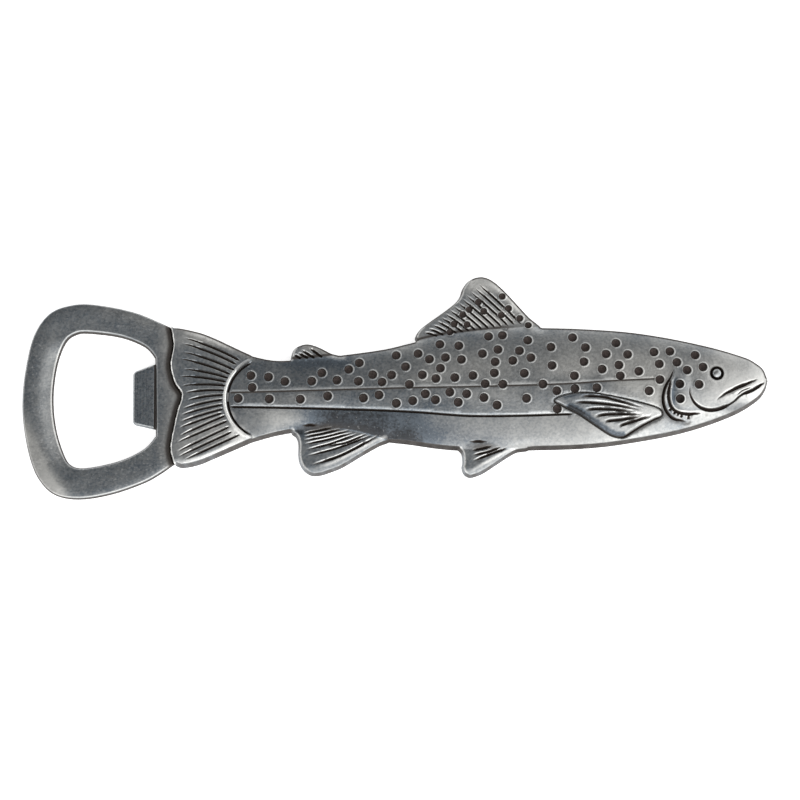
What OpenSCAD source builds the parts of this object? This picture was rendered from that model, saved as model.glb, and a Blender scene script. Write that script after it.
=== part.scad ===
// Trout-shaped bottle opener: a cast relief fish on a ring plate with a lifter lip.
// Origin: middle of the outline, on the flat back. +X towards the nose, +Y towards the
// dorsal fin, +Z out of the relief. Millimetres.

/* [Overall] */
// Length over everything, from the far edge of the ring to the nose
overall_length = 178; // [172:1:184]

/* [Opener] */
// Thickness of the ring plate
ring_t = 3.2; // [3:0.1:3.6]
// Thickness of the tang that lies under the tail
tang_t = 2.6; // [2.4:0.1:2.8]
// Thickness of the lifter plate
lip_t = 1.8; // [1.4:0.1:2]
// Radius of a rivet's shank
rivet_r = 1.25; // [1:0.05:1.5]
// Radius of a rivet's countersunk head
rivet_head_r = 2.1; // [1.8:0.1:2.4]

/* [Fish] */
// Thickness of the body at its outline
edge_t = 3.8; // [3.4:0.1:4.2]
// Height of the dome above the edge, at the deepest part of the body
dome_h = 3.2; // [2.4:0.1:4]
// Thickness of the tail blade
tail_t = 4.8; // [4.6:0.1:5.2]
// Thickness of the dorsal, adipose, anal and pelvic fins
fin_t = 3.9; // [3.6:0.1:4.2]
// Height of the gill cover and the pectoral fin above the flank
plate_h = 0.5; // [0.3:0.1:0.8]

/* [Surface detail] */
// Radius of a spot pit
spot_r = 0.95; // [0.8:0.05:1.05]
// Depth of a spot pit
spot_depth = 0.7; // [0.5:0.05:0.9]
// Thickness of the enamel on a pit's floor
enamel_t = 0.2; // [0.1:0.05:0.3]
// Width of a cut line, such as the mouth or a fin groove
line_w = 0.5; // [0.3:0.05:0.6]
// Depth of a cut line
line_depth = 0.4; // [0.2:0.05:0.6]
// Radius of the eye's dome
eye_r = 1.15; // [1:0.05:1.3]
// Radius of the socket around the eye
socket_r = 1.65; // [1.5:0.05:1.8]

/* [Hidden] */

// The plan is drawn for a length of 178 and scaled to the length asked for
k = overall_length / 178;
curve_steps = 4;
station_count = 40;
across_count = 12;
over = 1;
top_z = edge_t + dome_h + over;

// Upper and lower edge of the body without its fins, from the tail's root to the nose
back_line = [[-41, 8], [-37.5, 8.6], [-34.2, 7.7], [-28, 6.6], [-20, 7.2], [-13, 7.9], [-3, 9.3], [3, 10.7],
    [11, 12.6], [23, 14], [36, 14.5], [52, 13.8], [63, 12.4], [74.5, 10], [83, 7.5], [86, 6],
    [88, 4.3], [89, 1.8]];
belly_line = [[-41, -12], [-37.5, -14], [-34.2, -13.1], [-28, -11.4], [-20, -10.2], [-12, -10.5], [-6, -11.8],
    [-2, -13], [3, -13.6], [14.5, -15], [31.5, -15], [46, -14.5], [57, -13.1], [69, -10.7],
    [80, -6.9], [86, -3.4], [88.2, -0.8], [89, 1.8]];

// Height of the dome along the body, as a share of dome_h
dome_line = [[-41, 0.15], [-34, 0.3], [-20, 0.55], [0, 0.8], [30, 1], [60, 0.97], [76, 0.8],
    [84, 0.5], [88, 0.2], [89, 0.06]];

// Edge that the tail and the ring plate share, from the upper to the lower corner
trailing_edge = [[-53.6, 14.4], [-52.9, 10.2], [-53.5, 6], [-53.3, 3.5], [-52.4, 0.6],
    [-50.8, -2.1], [-51.9, -6.3], [-53, -11.6], [-53.4, -15.2], [-52.6, -18.5]];
tail_lower_edge = [[-52.6, -18.5], [-51.5, -19.1], [-50, -19.2], [-46.5, -18.4], [-42.7, -16.8],
    [-34.2, -13.1]];
tail_upper_edge = [[-34.2, 7.8], [-38.9, 10], [-42.7, 11.8], [-46.5, 13.3], [-51.3, 14.4],
    [-53.6, 14.4]];

// Arc where the tail fan meets the body
root_centre = [-30.4, -2.9];
root_r = 9.8;
root_ridge_w = 0.9;
root_ridge_h = 0.3;
root_from = 112;
root_to = 248;

// The tail's grooves fan out from this point
fan_centre = [-17, -1.2];
fan_count = 19;
fan_from = 156.5;
fan_to = 206;

// Outer edge of the ring, from the tail's lower corner clockwise round to its upper corner
ring_outer = [[-52.6, -18.5], [-56, -20.9], [-60, -23.1], [-67.5, -25.7], [-75, -26.9],
    [-80.8, -25.9], [-84.6, -22.5], [-87, -17.2], [-88.6, -9.5], [-89, -3.2], [-88.4, 4],
    [-86.5, 12.4], [-82.7, 17.9], [-77, 20], [-71, 19.9], [-62, 18], [-53.6, 14.4]];
// Edge of the ring's opening, which runs on behind the lip
ring_inner = [[-57.1, -11.7], [-59.9, -14.8], [-65.6, -17.6], [-73.2, -19.3], [-76.9, -18.9],
    [-78.9, -16.2], [-80.9, -9.8], [-81.6, -2.5], [-80.8, 5], [-78.9, 10.5], [-76.5, 12.6],
    [-73.2, 13], [-65.6, 12], [-59.9, 9.7], [-57.4, 7]];

// Lifter lip: half of a crown cap's width, narrower at its tip
lip_tip_x = -62.7;
lip_root_x = -57.1;
lip_tip_y = [-9.1, 4.1];
lip_root_y = [-10.1, 5.8];
lip_corner_r = 1.2;
// The lifter plate runs on under the crossbar to here, and the tang to its own end
plate_end_x = -43.5;
plate_end_y = [-6.6, 2.4];
tang_start_x = -55.5;
tang_start_y = [-14, 10.5];
tang_end_x = -36.5;
tang_end_y = [-7, 1.4];
rivet_places = [[-47, -5], [-47, 1], [-40, -2.6]];
rivet_len = 4;
rivet_head_h = 0.9;

// Fins, drawn on into the body so that they join it
dorsal_outline = [[7, 9], [4.8, 11.3], [4.8, 12.6], [5.9, 14.2], [8, 15.9], [10.8, 17.9],
    [13.7, 20.1], [15.2, 21.8], [16, 24], [17.6, 26], [20, 26.85], [22.2, 26.5], [24.4, 25.1],
    [26.8, 22.8], [29.7, 19.6], [32.2, 16.9], [34.6, 14.9], [37, 12]];
adipose_outline = [[-24.8, 5], [-25.1, 6.7], [-24.9, 7.9], [-24.4, 9.2], [-23.2, 10.1],
    [-21, 10.6], [-18.4, 9.9], [-15.4, 8.4], [-12.9, 7.6], [-13, 6]];
anal_outline = [[-23, -8], [-24.8, -10.8], [-23.7, -12], [-23.2, -13.5], [-23.2, -16.3],
    [-22.9, -18.1], [-21.8, -20], [-20, -21.1], [-18, -21.1], [-15.7, -20.4], [-12.5, -19.1],
    [-8.2, -16.5], [-4.2, -14.2], [-1, -12.6], [-3, -10]];
pelvic_outline = [[16, -12], [14.9, -14.7], [15.7, -16], [15.9, -18.1], [15.7, -19.3],
    [16.2, -20.8], [17.5, -21.6], [18.8, -21.4], [20.8, -20.6], [23.3, -19], [26.3, -17],
    [28.8, -15.6], [31.8, -14.9], [31, -12]];
pectoral_outline = [[37.8, -3.8], [40.3, -2.8], [46.3, -2.2], [51.3, -2.5], [56.5, -4],
    [60.5, -5.3], [63, -6.2], [63.2, -7.2], [61.5, -8.2], [58, -9.9], [54.2, -12.1], [52.4, -12.1],
    [50, -11.2], [46.3, -8.7], [42.2, -6.7], [39.5, -5.1], [37.8, -3.8]];

// Grooves of each fin: both ends of the first and the last one, and how many there are
dorsal_rays = [[[8.2, 14.6], [11.5, 12.9]], [[19.6, 25.3], [29.6, 15.4]], 13];
adipose_rays = [[[-24, 8.4], [-22.4, 7.2]], [[-20.6, 9.6], [-18.2, 7.9]], 4];
anal_rays = [[[-21.5, -10.7], [-12, -9.9]], [[-19.6, -18.2], [-6.5, -12]], 9];
pelvic_rays = [[[17.6, -14.8], [23, -13.6]], [[18.4, -17.3], [25.5, -14.9]], 4];
pectoral_rays = [[[43, -3.4], [57, -5.2]], [[52.5, -10.2], [60.5, -7.4]], 6];

// Lines cut into the body
lateral_line = [[-39.2, -1.6], [-22, -1.3], [5, -0.7], [19, -0.5], [39.5, 0.1], [50, 0.8], [62.5, 1.4]];
belly_groove = [[-39.4, -5], [-23, -5.4], [-7, -5.9], [5, -6.5], [17, -7.4], [29, -7.4], [42, -7]];
gill_edge = [[66.4, 4.2], [65.2, 2], [64, -0.6], [63.4, -3], [63.7, -5.4], [64.6, -7], [66.2, -8.1],
    [68.6, -8.6], [72, -8.3]];
jaw_line = [[70.1, 0], [70, -2.4], [71, -4.6], [72.8, -5.8], [75, -6.1], [77.3, -5.5], [79.6, -4.4],
    [82.2, -2.5], [85, -0.8], [88, 0.9]];
upper_jaw_line = [[76.4, -3.6], [77.8, -2.3], [80.3, -0.8], [83.3, 0.6], [86.4, 1.8]];
gill_plate_right = [[74, -6], [70, -1], [69, 3], [67.5, 4.4]];

// Spots, by region
tail_spots = [[-37.5, -3], [-34.5, 2.5], [-34.2, -0.4], [-30.3, 2.1], [-30.1, -3.2], [-26.4, 1],
    [-22.7, -3.3], [-20, 1], [-17.6, 3], [-16.2, -2.6], [-14, 1.2], [-11.2, 3.8]];
middle_spots = [[-8.7, 5.4], [-8.9, 0.9], [-7.7, -3.1], [-5.5, 2.5], [-4, -2.4], [-3.3, 0.7],
    [-1, 2.4], [0.1, 7.2], [0.1, -4.4], [2.3, 4.4], [3.2, 0.1], [4, -3.8], [5.3, 7.6],
    [6.3, 2.4], [7, -2.2], [8, 6.2], [9.5, 1.5], [9.4, -3.6], [10.5, 9.9], [10.6, 4],
    [11.8, 6.6], [12.8, -1.8], [14, 1.7], [15, 9.5], [14.8, -4.2], [15.6, 6.1], [16.8, -2.2],
    [18.3, 2.2]];
shoulder_spots = [[20.6, 7.5], [20.9, -3.1], [21.2, 0.2], [22.1, 11.8], [23.4, 2.8], [23.6, 5.5],
    [24.3, 8.5], [24, -4.9], [25.4, 12.1], [25.4, 0.1], [27.8, 5.8], [29.4, 8.2], [30.5, 2.7],
    [31, -3.3], [31.4, 10.8], [32.1, 6.5], [34.9, 0.1], [36.9, 9.1], [37.1, 4.6], [38.2, -1.5],
    [38.3, -5.8], [42.1, 11.5], [42.4, 2.1], [42.5, -1], [44.7, 5.5], [45.1, 9], [47.7, -0.8],
    [49, 3.7], [50, 7.4], [52.4, 10.1], [53, 4.7], [53.3, 2.1], [55.1, 7.3], [57.7, 3.2],
    [60.1, -1.5]];
head_spots = [[61.4, 7.9], [62.6, 5], [62.7, 1.2], [65.2, 8.1], [66.8, 5.4], [67.4, 0.1],
    [67.5, -3.4], [69.2, 3.5], [71.2, 7.2], [72, 0.1], [73, 4.3]];
fin_spots = [[12.9, 13], [13.9, 15], [17, 14.9], [16, 17.3], [17.5, 18.5], [19.7, 20.3],
    [21, 18.1], [25.2, 17.2], [25.4, 21.7], [26.9, 18.8], [29.6, 16.4], [31.6, 14.7]];
body_spots = concat(tail_spots, middle_spots, shoulder_spots, head_spots);
// Spots on a fin are a little smaller than those on the body
fin_spot_share = 0.75;

eye_place = [76.4, 2.8];
eye_sink = 0.9;

// One point of a Catmull-Rom span from b to c, at t from 0 to 1
function span_point(a, b, c, d, t) =
    0.5 * (2 * b + (c - a) * t + (2 * a - 5 * b + 4 * c - d) * t * t
    + (3 * b - a - 3 * c + d) * t * t * t);

// Smooth open curve through the points, at the scale of the plan, without its last point
function open_curve(p) = [for (i = [0 : len(p) - 2], j = [0 : curve_steps - 1])
    k * span_point(p[max(i - 1, 0)], p[i], p[i + 1], p[min(i + 2, len(p) - 1)], j / curve_steps)];

// The same curve with its last point
function curve(p) = concat(open_curve(p), [k * p[len(p) - 1]]);

function reversed(p) = [for (i = [len(p) - 1 : -1 : 0]) p[i]];

function arc(centre, r, from, to, steps) = [for (i = [0 : steps])
    let (a = from + (to - from) * i / steps) k * centre + k * r * [cos(a), sin(a)]];

// Unit normal to the left of a chain of points at point i
function left_normal(p, i) =
    let (d = p[min(i + 1, len(p) - 1)] - p[max(i - 1, 0)])
    [-d[1], d[0]] / norm(d);

// Outline of a line of width w along a chain of points, pointed at both ends
function ribbon(p, w) =
    let (n = len(p) - 1)
    concat([p[0]], [for (i = [1 : n - 1]) p[i] + left_normal(p, i) * w / 2],
        [p[n]], [for (i = [n - 1 : -1 : 1]) p[i] - left_normal(p, i) * w / 2]);

// Straight groove from a to b, widest in its middle
function slit(a, b, w) = ribbon([a, a + (b - a) * 0.15, a + (b - a) * 0.85, b], w);

back_curve = curve(back_line);
belly_curve = curve(belly_line);

// Place across the body: -1 at the belly's edge, 0 on the crest, 1 at the back's edge
function across(x, y) =
    let (top = lookup(x, back_curve), low = lookup(x, belly_curve))
    (2 * y - top - low) / (top - low);

// Height of the domed flank above the back face
function flank_z(x, y) =
    edge_t + dome_h * lookup(x / k, dome_line) * pow(max(0, 1 - pow(across(x, y), 2)), 0.75);

// Stations along the body lie closer together near the nose
function station_x(i) =
    let (start = back_curve[0][0], end = k * back_line[len(back_line) - 1][0] - 0.05)
    start + (end - start) * sin(90 * i / station_count);

// One cross-section's points: the two corners on the back face, then the dome from belly to back
function station(i) =
    let (x = station_x(i), top = lookup(x, back_curve), low = lookup(x, belly_curve))
    concat([[x, low, 0]],
        [for (j = [0 : across_count])
            let (y = (top + low) / 2 - cos(180 * j / across_count) * (top - low) / 2)
            [x, y, flank_z(x, y)]],
        [[x, top, 0]]);

// The body without fins: a lofted solid with a flat back and a domed front
module body_form() {
    ring = across_count + 3;
    points = [for (i = [0 : station_count]) each station(i)];
    sides = [for (i = [0 : station_count - 1], j = [0 : ring - 1])
        let (a = i * ring + j, b = i * ring + (j + 1) % ring)
        each [[a, b, b + ring], [a, b + ring, a + ring]]];
    first_end = [for (j = [ring - 1 : -1 : 0]) j];
    last_end = [for (j = [0 : ring - 1]) station_count * ring + j];
    polyhedron(points, concat(sides, [first_end], [last_end]));
}

module slab(outline, t) {
    linear_extrude(t) polygon(outline);
}

module tail_blade() {
    root = arc(root_centre, root_r, root_to, root_from, 24);
    slab(concat(open_curve(trailing_edge), open_curve(tail_lower_edge), root,
        open_curve(tail_upper_edge)), tail_t);
    slab(concat(arc(root_centre, root_r, root_to, root_from, 24),
        arc(root_centre, root_r + root_ridge_w, root_from, root_to, 24)), tail_t + root_ridge_h);
}

// Part of the flank that stands proud inside an outline
module raised(outline) {
    intersection() {
        translate([0, 0, plate_h]) body_form();
        slab(outline, top_z);
    }
}

// Grooves spread evenly between a first and a last one, given as [first, last, count]
module ray_slits(rays) {
    for (i = [0 : rays[2] - 1]) {
        f = i / (rays[2] - 1);
        a = k * (rays[0][0] * (1 - f) + rays[1][0] * f);
        b = k * (rays[0][1] * (1 - f) + rays[1][1] * f);
        polygon(slit(a, b, line_w));
    }
}

module fan_slits() {
    for (i = [0 : fan_count - 1]) {
        a = fan_from + (fan_to - fan_from) * i / (fan_count - 1);
        way = [cos(a), sin(a)];
        polygon(slit(k * (fan_centre + way * 24.4), k * (fan_centre + way * 33.5), line_w));
    }
}

// Cuts its 2D children into the flank to the depth of a line
module engraved(lift = 0) {
    difference() {
        linear_extrude(top_z) children();
        translate([0, 0, lift - line_depth]) body_form();
    }
}

module spot_cut(place, z, r) {
    translate([k * place[0], k * place[1], z - spot_depth]) cylinder(r = r, h = top_z, $fn = 24);
}

module spot_fill(place, z, r) {
    translate([k * place[0], k * place[1], z - spot_depth]) cylinder(r = r, h = enamel_t, $fn = 24);
}

function eye_z() = flank_z(k * eye_place[0], k * eye_place[1]);

module tang() {
    slab(k * [[tang_start_x, tang_start_y[0]], [tang_end_x, tang_end_y[0]],
        [tang_end_x, tang_end_y[1]], [tang_start_x, tang_start_y[1]]], tang_t);
}

module rivet_shape() {
    cylinder(r = rivet_r, h = rivet_len, $fn = 32);
    cylinder(r1 = rivet_head_r, r2 = rivet_r, h = rivet_head_h, $fn = 32);
}

module rivets() {
    for (p = rivet_places) translate([k * p[0], k * p[1], 0]) rivet_shape();
}

// Plan of the lifter plate: a lip with two round corners and a root that runs under the crossbar
function lip_outline() =
    let (low = [lip_tip_x + lip_corner_r, lip_tip_y[0] + lip_corner_r],
        high = [lip_tip_x + lip_corner_r, lip_tip_y[1] - lip_corner_r])
    concat(arc(high, lip_corner_r, 105, 180, 5), arc(low, lip_corner_r, 180, 258, 5),
        k * [[lip_root_x, lip_root_y[0]], [plate_end_x, plate_end_y[0]],
            [plate_end_x, plate_end_y[1]], [lip_root_x, lip_root_y[1]]]);

module lifter_plate() {
    slab(lip_outline(), lip_t);
}

// The solid fish before its lines, pits and sockets are cut
module fish_blank() {
    body_form();
    tail_blade();
    slab(curve(dorsal_outline), fin_t);
    slab(curve(adipose_outline), fin_t);
    slab(curve(anal_outline), fin_t);
    slab(curve(pelvic_outline), fin_t);
    raised(open_curve(pectoral_outline));
    raised(concat(curve(gill_edge), curve(gill_plate_right)));
}

// The blank with the grooves of its tail and of its four flat fins
module grooved_blank() {
    difference() {
        fish_blank();
        translate([0, 0, tail_t - line_depth]) linear_extrude(top_z) fan_slits();
        translate([0, 0, fin_t - line_depth]) linear_extrude(top_z - fin_t) {
            ray_slits(dorsal_rays);
            ray_slits(adipose_rays);
            ray_slits(anal_rays);
            ray_slits(pelvic_rays);
        }
    }
}

// The grooved blank with the lines on its domed flank
module lined_blank() {
    difference() {
        grooved_blank();
        engraved() {
            polygon(ribbon(curve(lateral_line), line_w));
            polygon(ribbon(curve(belly_groove), line_w));
            polygon(ribbon(curve(jaw_line), line_w));
            polygon(ribbon(curve(upper_jaw_line), line_w));
        }
        engraved(plate_h) ray_slits(pectoral_rays);
    }
}

module fish_body() {
    color([0.42, 0.43, 0.44])
    difference() {
        lined_blank();
        for (p = body_spots) spot_cut(p, flank_z(k * p[0], k * p[1]), spot_r);
        for (p = fin_spots) spot_cut(p, fin_t, spot_r * fin_spot_share);
        translate([k * eye_place[0], k * eye_place[1], eye_z() - eye_sink])
            cylinder(r = socket_r, h = top_z, $fn = 32);
        tang();
        rivets();
    }
}

module opener_frame() {
    color([0.35, 0.36, 0.38])
    difference() {
        union() {
            slab(concat(open_curve(ring_outer), open_curve(trailing_edge)), ring_t);
            tang();
        }
        translate([0, 0, -over]) slab(curve(ring_inner), ring_t + 2 * over);
        lifter_plate();
        rivets();
    }
}

module pry_lip() {
    color([0.3, 0.31, 0.33])
    difference() {
        lifter_plate();
        rivets();
    }
}

module tang_rivets() {
    color([0.6, 0.6, 0.6]) rivets();
}

module spot_enamel() {
    color([0.2, 0.15, 0.13]) {
        for (p = body_spots) spot_fill(p, flank_z(k * p[0], k * p[1]), spot_r);
        for (p = fin_spots) spot_fill(p, fin_t, spot_r * fin_spot_share);
    }
}

// A domed stud that stands on the floor of its socket
module eye_stud() {
    color([0.75, 0.75, 0.73])
    translate([k * eye_place[0], k * eye_place[1], eye_z() - eye_sink])
    intersection() {
        cylinder(r = eye_r, h = eye_sink + eye_r, $fn = 32);
        translate([0, 0, eye_sink - 0.5 * eye_r]) sphere(r = 1.25 * eye_r, $fn = 32);
    }
}

fish_body();
opener_frame();
pry_lip();
tang_rivets();
spot_enamel();
eye_stud();
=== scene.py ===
"""Looks of the trout bottle opener: an antique pewter casting, relief side up.

Lengths in the shape functions are millimetres in the shared frame; meshes are made in metres.
"""

import math
from collections import Counter

import bpy
import bmesh
import numpy as np
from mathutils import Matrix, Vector
from mathutils.geometry import delaunay_2d_cdt
from mathutils.kdtree import KDTree


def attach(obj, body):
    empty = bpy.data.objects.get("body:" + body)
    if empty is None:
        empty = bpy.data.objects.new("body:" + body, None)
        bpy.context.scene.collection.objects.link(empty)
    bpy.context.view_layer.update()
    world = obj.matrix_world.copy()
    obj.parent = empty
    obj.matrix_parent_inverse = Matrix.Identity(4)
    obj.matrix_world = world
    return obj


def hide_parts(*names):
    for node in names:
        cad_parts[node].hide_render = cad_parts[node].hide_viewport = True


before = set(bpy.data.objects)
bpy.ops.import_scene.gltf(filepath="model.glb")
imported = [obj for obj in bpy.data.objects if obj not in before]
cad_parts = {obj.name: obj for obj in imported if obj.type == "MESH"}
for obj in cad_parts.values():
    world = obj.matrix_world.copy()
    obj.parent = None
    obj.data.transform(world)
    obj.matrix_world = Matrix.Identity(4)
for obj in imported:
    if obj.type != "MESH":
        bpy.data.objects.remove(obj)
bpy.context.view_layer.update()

MM = 0.001
ALL = slice(None)
# Values painted on the meshes: grime, polish and tarnish, which also carry painted shade and painted
# highlights
LOOKS = ("grime", "polish", "tarnish_and_shade")
FINS = ("dorsal", "adipose", "anal", "pelvic")

# Camera: degrees above the horizon, metres away, metres across the picture, target in millimetres
CAMERA_ELEVATION = 82
CAMERA_DISTANCE = 0.95
VIEW_WIDTH = 0.1904
CAMERA_TARGET = (1.07, -3.33, 4.0)

# Colours, as linear red, green and blue. The tarnish, worn and grime colours also stand for painted shade
# and painted highlights
WIPED = (0.58, 0.578, 0.556)
TARNISH_AND_SHADE_COLOUR = (0.126, 0.149, 0.174)
DEEP = (0.038, 0.041, 0.045)
WORN_AND_LIT = (0.93, 0.925, 0.895)
BROWN = (0.053, 0.047, 0.043)
DIRT_AND_SHADE_COLOUR = (0.014, 0.010, 0.008)
ENAMEL_DARK = (0.03, 0.021, 0.018)
ENAMEL_DUSTY = (0.06, 0.044, 0.039)

# Heights and thicknesses, as in the CAD model
RING_T = 3.2
TANG_T = 2.6
LIP_T = 1.8
EDGE_T = 3.8
DOME_H = 3.2
TAIL_T = 4.8
FIN_T = 3.9
PLATE_H = 0.5
ENAMEL_T = 0.2

# The eye, its socket, and the raised rims round the pits
EYE_PLACE = (76.4, 2.8)
SOCKET_R = 1.62
EYE_R = 1.15
EYE_SINK = 0.9
RIM_H = 0.07
RIM_OUT = 0.24
RIM_SHIFT = 0.1

# The cast walls: draft, height of their foot, round of the top edge, and the tail's worn chamfer
WALL_SLOPE = 1 / math.tan(math.radians(8))
WALL_FOOT = 0.25
WALL_REACH = 2.5
EDGE_ROUND = 0.22
CHAMFER = 0.3

# The lifter plate, the tang and the rivets
LIP_TIP_X, LIP_ROOT_X, PLATE_END_X = -62.7, -57.1, -43.5
LIP_TIP_Y = (-9.1, 4.1)
LIP_ROOT_Y = (-10.1, 5.8)
PLATE_END_Y = (-6.6, 2.4)
LIP_CORNER_R = 1.2
TANG = [[-55.5, -14], [-36.5, -7], [-36.5, 1.4], [-55.5, 10.5]]
RIVET_PLACES = [(-47, -5), (-47, 1), (-40, -2.6)]
RIVET_HEAD_R = 2.1

# Outlines in plan, and the crest's height along the body as a share of DOME_H
BACK_LINE = [[-41, 8], [-37.5, 8.6], [-34.2, 7.7], [-28, 6.6], [-20, 7.2], [-13, 7.9], [-3, 9.3], [3, 10.7],
             [11, 12.6], [23, 14], [36, 14.5], [52, 13.8], [63, 12.4], [74.5, 10], [83, 7.5], [86, 6],
             [88, 4.3], [89, 1.8]]
BELLY_LINE = [[-41, -12], [-37.5, -14], [-34.2, -13.1], [-28, -11.4], [-20, -10.2], [-12, -10.5],
              [-6, -11.8], [-2, -13], [3, -13.6], [14.5, -15], [31.5, -15], [46, -14.5], [57, -13.1],
              [69, -10.7], [80, -6.9], [86, -3.4], [88.2, -0.8], [89, 1.8]]
DOME_LINE = [[-41, 0.15], [-34, 0.3], [-20, 0.55], [0, 0.8], [30, 1], [60, 0.97], [76, 0.8], [84, 0.5],
             [88, 0.2], [89, 0.06]]
TRAILING_EDGE = [[-53.6, 14.4], [-52.9, 10.2], [-53.5, 6], [-53.3, 3.5], [-52.4, 0.6], [-50.8, -2.1],
                 [-51.9, -6.3], [-53, -11.6], [-53.4, -15.2], [-52.6, -18.5]]
TAIL_LOWER_EDGE = [[-52.6, -18.5], [-51.5, -19.1], [-50, -19.2], [-46.5, -18.4], [-42.7, -16.8],
                   [-34.2, -13.1]]
TAIL_UPPER_EDGE = [[-34.2, 7.8], [-38.9, 10], [-42.7, 11.8], [-46.5, 13.3], [-51.3, 14.4], [-53.6, 14.4]]
RING_OUTER = [[-52.6, -18.5], [-56, -20.9], [-60, -23.1], [-67.5, -25.7], [-75, -26.9], [-80.8, -25.9],
              [-84.6, -22.5], [-87, -17.2], [-88.6, -9.5], [-89, -3.2], [-88.4, 4], [-86.5, 12.4],
              [-82.7, 17.9], [-77, 20], [-71, 19.9], [-62, 18], [-53.6, 14.4]]
RING_INNER = [[-57.1, -11.7], [-59.9, -14.8], [-65.6, -17.6], [-73.2, -19.3], [-76.9, -18.9],
              [-78.9, -16.2], [-80.9, -9.8], [-81.6, -2.5], [-80.8, 5], [-78.9, 10.5], [-76.5, 12.6],
              [-73.2, 13], [-65.6, 12], [-59.9, 9.7], [-57.4, 7]]
DORSAL = [[7, 9], [4.8, 11.3], [4.8, 12.6], [5.9, 14.2], [8, 15.9], [10.8, 17.9], [13.7, 20.1],
          [15.2, 21.8], [16, 24], [17.6, 26], [20, 26.85], [22.2, 26.5], [24.4, 25.1], [26.8, 22.8],
          [29.7, 19.6], [32.2, 16.9], [34.6, 14.9], [37, 12]]
ADIPOSE = [[-24.8, 5], [-25.1, 6.7], [-24.9, 7.9], [-24.4, 9.2], [-23.2, 10.1], [-21, 10.6], [-18.4, 9.9],
           [-15.4, 8.4], [-12.9, 7.6], [-13, 6]]
ANAL = [[-23, -8], [-24.8, -10.8], [-23.7, -12], [-23.2, -13.5], [-23.2, -16.3], [-22.9, -18.1],
        [-21.8, -20], [-20, -21.1], [-18, -21.1], [-15.7, -20.4], [-12.5, -19.1], [-8.2, -16.5],
        [-4.2, -14.2], [-1, -12.6], [-3, -10]]
PELVIC = [[16, -12], [14.9, -14.7], [15.7, -16], [15.9, -18.1], [15.7, -19.3], [16.2, -20.8], [17.5, -21.6],
          [18.8, -21.4], [20.8, -20.6], [23.3, -19], [26.3, -17], [28.8, -15.6], [31.8, -14.9], [31, -12]]
PECTORAL = [[37.8, -3.8], [40, -2.7], [43.5, -2.1], [47.5, -2.2], [52, -3], [57, -4.1], [61, -5.2],
            [62.8, -6], [63.3, -6.8], [63, -7.4], [61.3, -8.1], [58, -9.8], [54.8, -11.8], [53.8, -12.2],
            [52.3, -12.1], [50.5, -11.4], [47, -9.2], [43.5, -6.9], [39.5, -4.9]]
PECTORAL_LOWER_EDGE = [[41.5, -5.9], [43.5, -6.9], [47, -9.2], [50.5, -11.4], [52.3, -12.1], [53.6, -12.2]]
PECTORAL_UPPER_EDGE = PECTORAL[1:6]

# Lines of the head and the flank
GILL_EDGE = [[66.3, 4], [65.5, 2], [64.5, 0.2], [63.8, -1.5], [63.5, -3.5], [63.9, -5.5], [64.9, -7.1],
             [66.3, -8.1], [69.3, -8.6]]
GILL_INNER = [[65.5, 1.4], [65, -0.8], [64.8, -2.8], [65.2, -4.8], [66.2, -6.1], [67.6, -6.7], [69.6, -6.9],
              [72.6, -6.7]]
GILL_BACK = [[69.3, -8.6], [74, -6.6], [71.5, -1], [70, 3], [67.5, 4.6]]
GILL_TICKS = [[(64.8, -6.2), (65.4, -5.8)], [(65.9, -7), (66.4, -6.5)], [(66.8, -7.4), (67.2, -6.9)],
              [(67.7, -7.8), (68, -7.1)], [(69.3, -8.1), (69.7, -7.3)], [(71, -8.2), (71.6, -7.4)]]
JAW_LINE = [[69.9, -0.2], [69.9, -2], [70.6, -3.8], [72, -5.1], [73.6, -5.8], [75.5, -5.9], [77.5, -5.4],
            [79.5, -4.4]]
JAW_STRETCH = [[78.8, -4.85], [80.4, -3.8], [81.7, -2.6], [83.2, -1.8]]
JAW_SLIVER = [[81.1, -2.4], [82.4, -1.3], [84.6, -0.4]]
LIP_LINE = [[81.9, -2.3], [84.6, -1.2], [86.4, -0.1], [87.9, 0.9]]
UPPER_JAW = [[76.2, -3.7], [77.4, -2.7], [79, -1.7], [81, -0.7], [83.5, 0.4], [86.3, 1.6]]
LATERAL_LINE = [[-39.2, -1.6], [-22, -1.3], [5, -0.7], [19, -0.5], [39.5, 0.1], [50, 0.8], [62.5, 1.4]]
BELLY_GROOVE = [[-39.4, -5], [-23, -5.4], [-7, -5.9], [5, -6.5], [17, -7.4], [29, -7.4], [42, -7]]

# Left and right end of each groove on the tail, from the upper edge down
TAIL_GROOVES = [((-50.5, 11.6), (-37, 6)), ((-51, 10.3), (-37.8, 5.1)), ((-50.8, 8.2), (-38.2, 3.7)),
                ((-51.5, 6.6), (-39.2, 2.7)), ((-50.5, 4), (-39.7, 1.8)), ((-51.5, 2.3), (-40.2, 0.9)),
                ((-51, 0), (-40.3, 0)), ((-50, -1.7), (-40.7, -1.1)), ((-49.5, -3.5), (-40.9, -2.2)),
                ((-50.5, -5.5), (-41, -3.3)), ((-50.8, -7), (-41, -4.5)), ((-51, -8.6), (-40.9, -5.5)),
                ((-51.3, -10.1), (-41.2, -6.5)), ((-51.2, -12), (-40.4, -7.1)),
                ((-51.8, -13.6), (-39.9, -8.4)), ((-51.8, -15.8), (-39.4, -9.8)),
                ((-51.5, -17), (-38.8, -11)), ((-50, -17.7), (-37, -11.7))]

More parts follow.
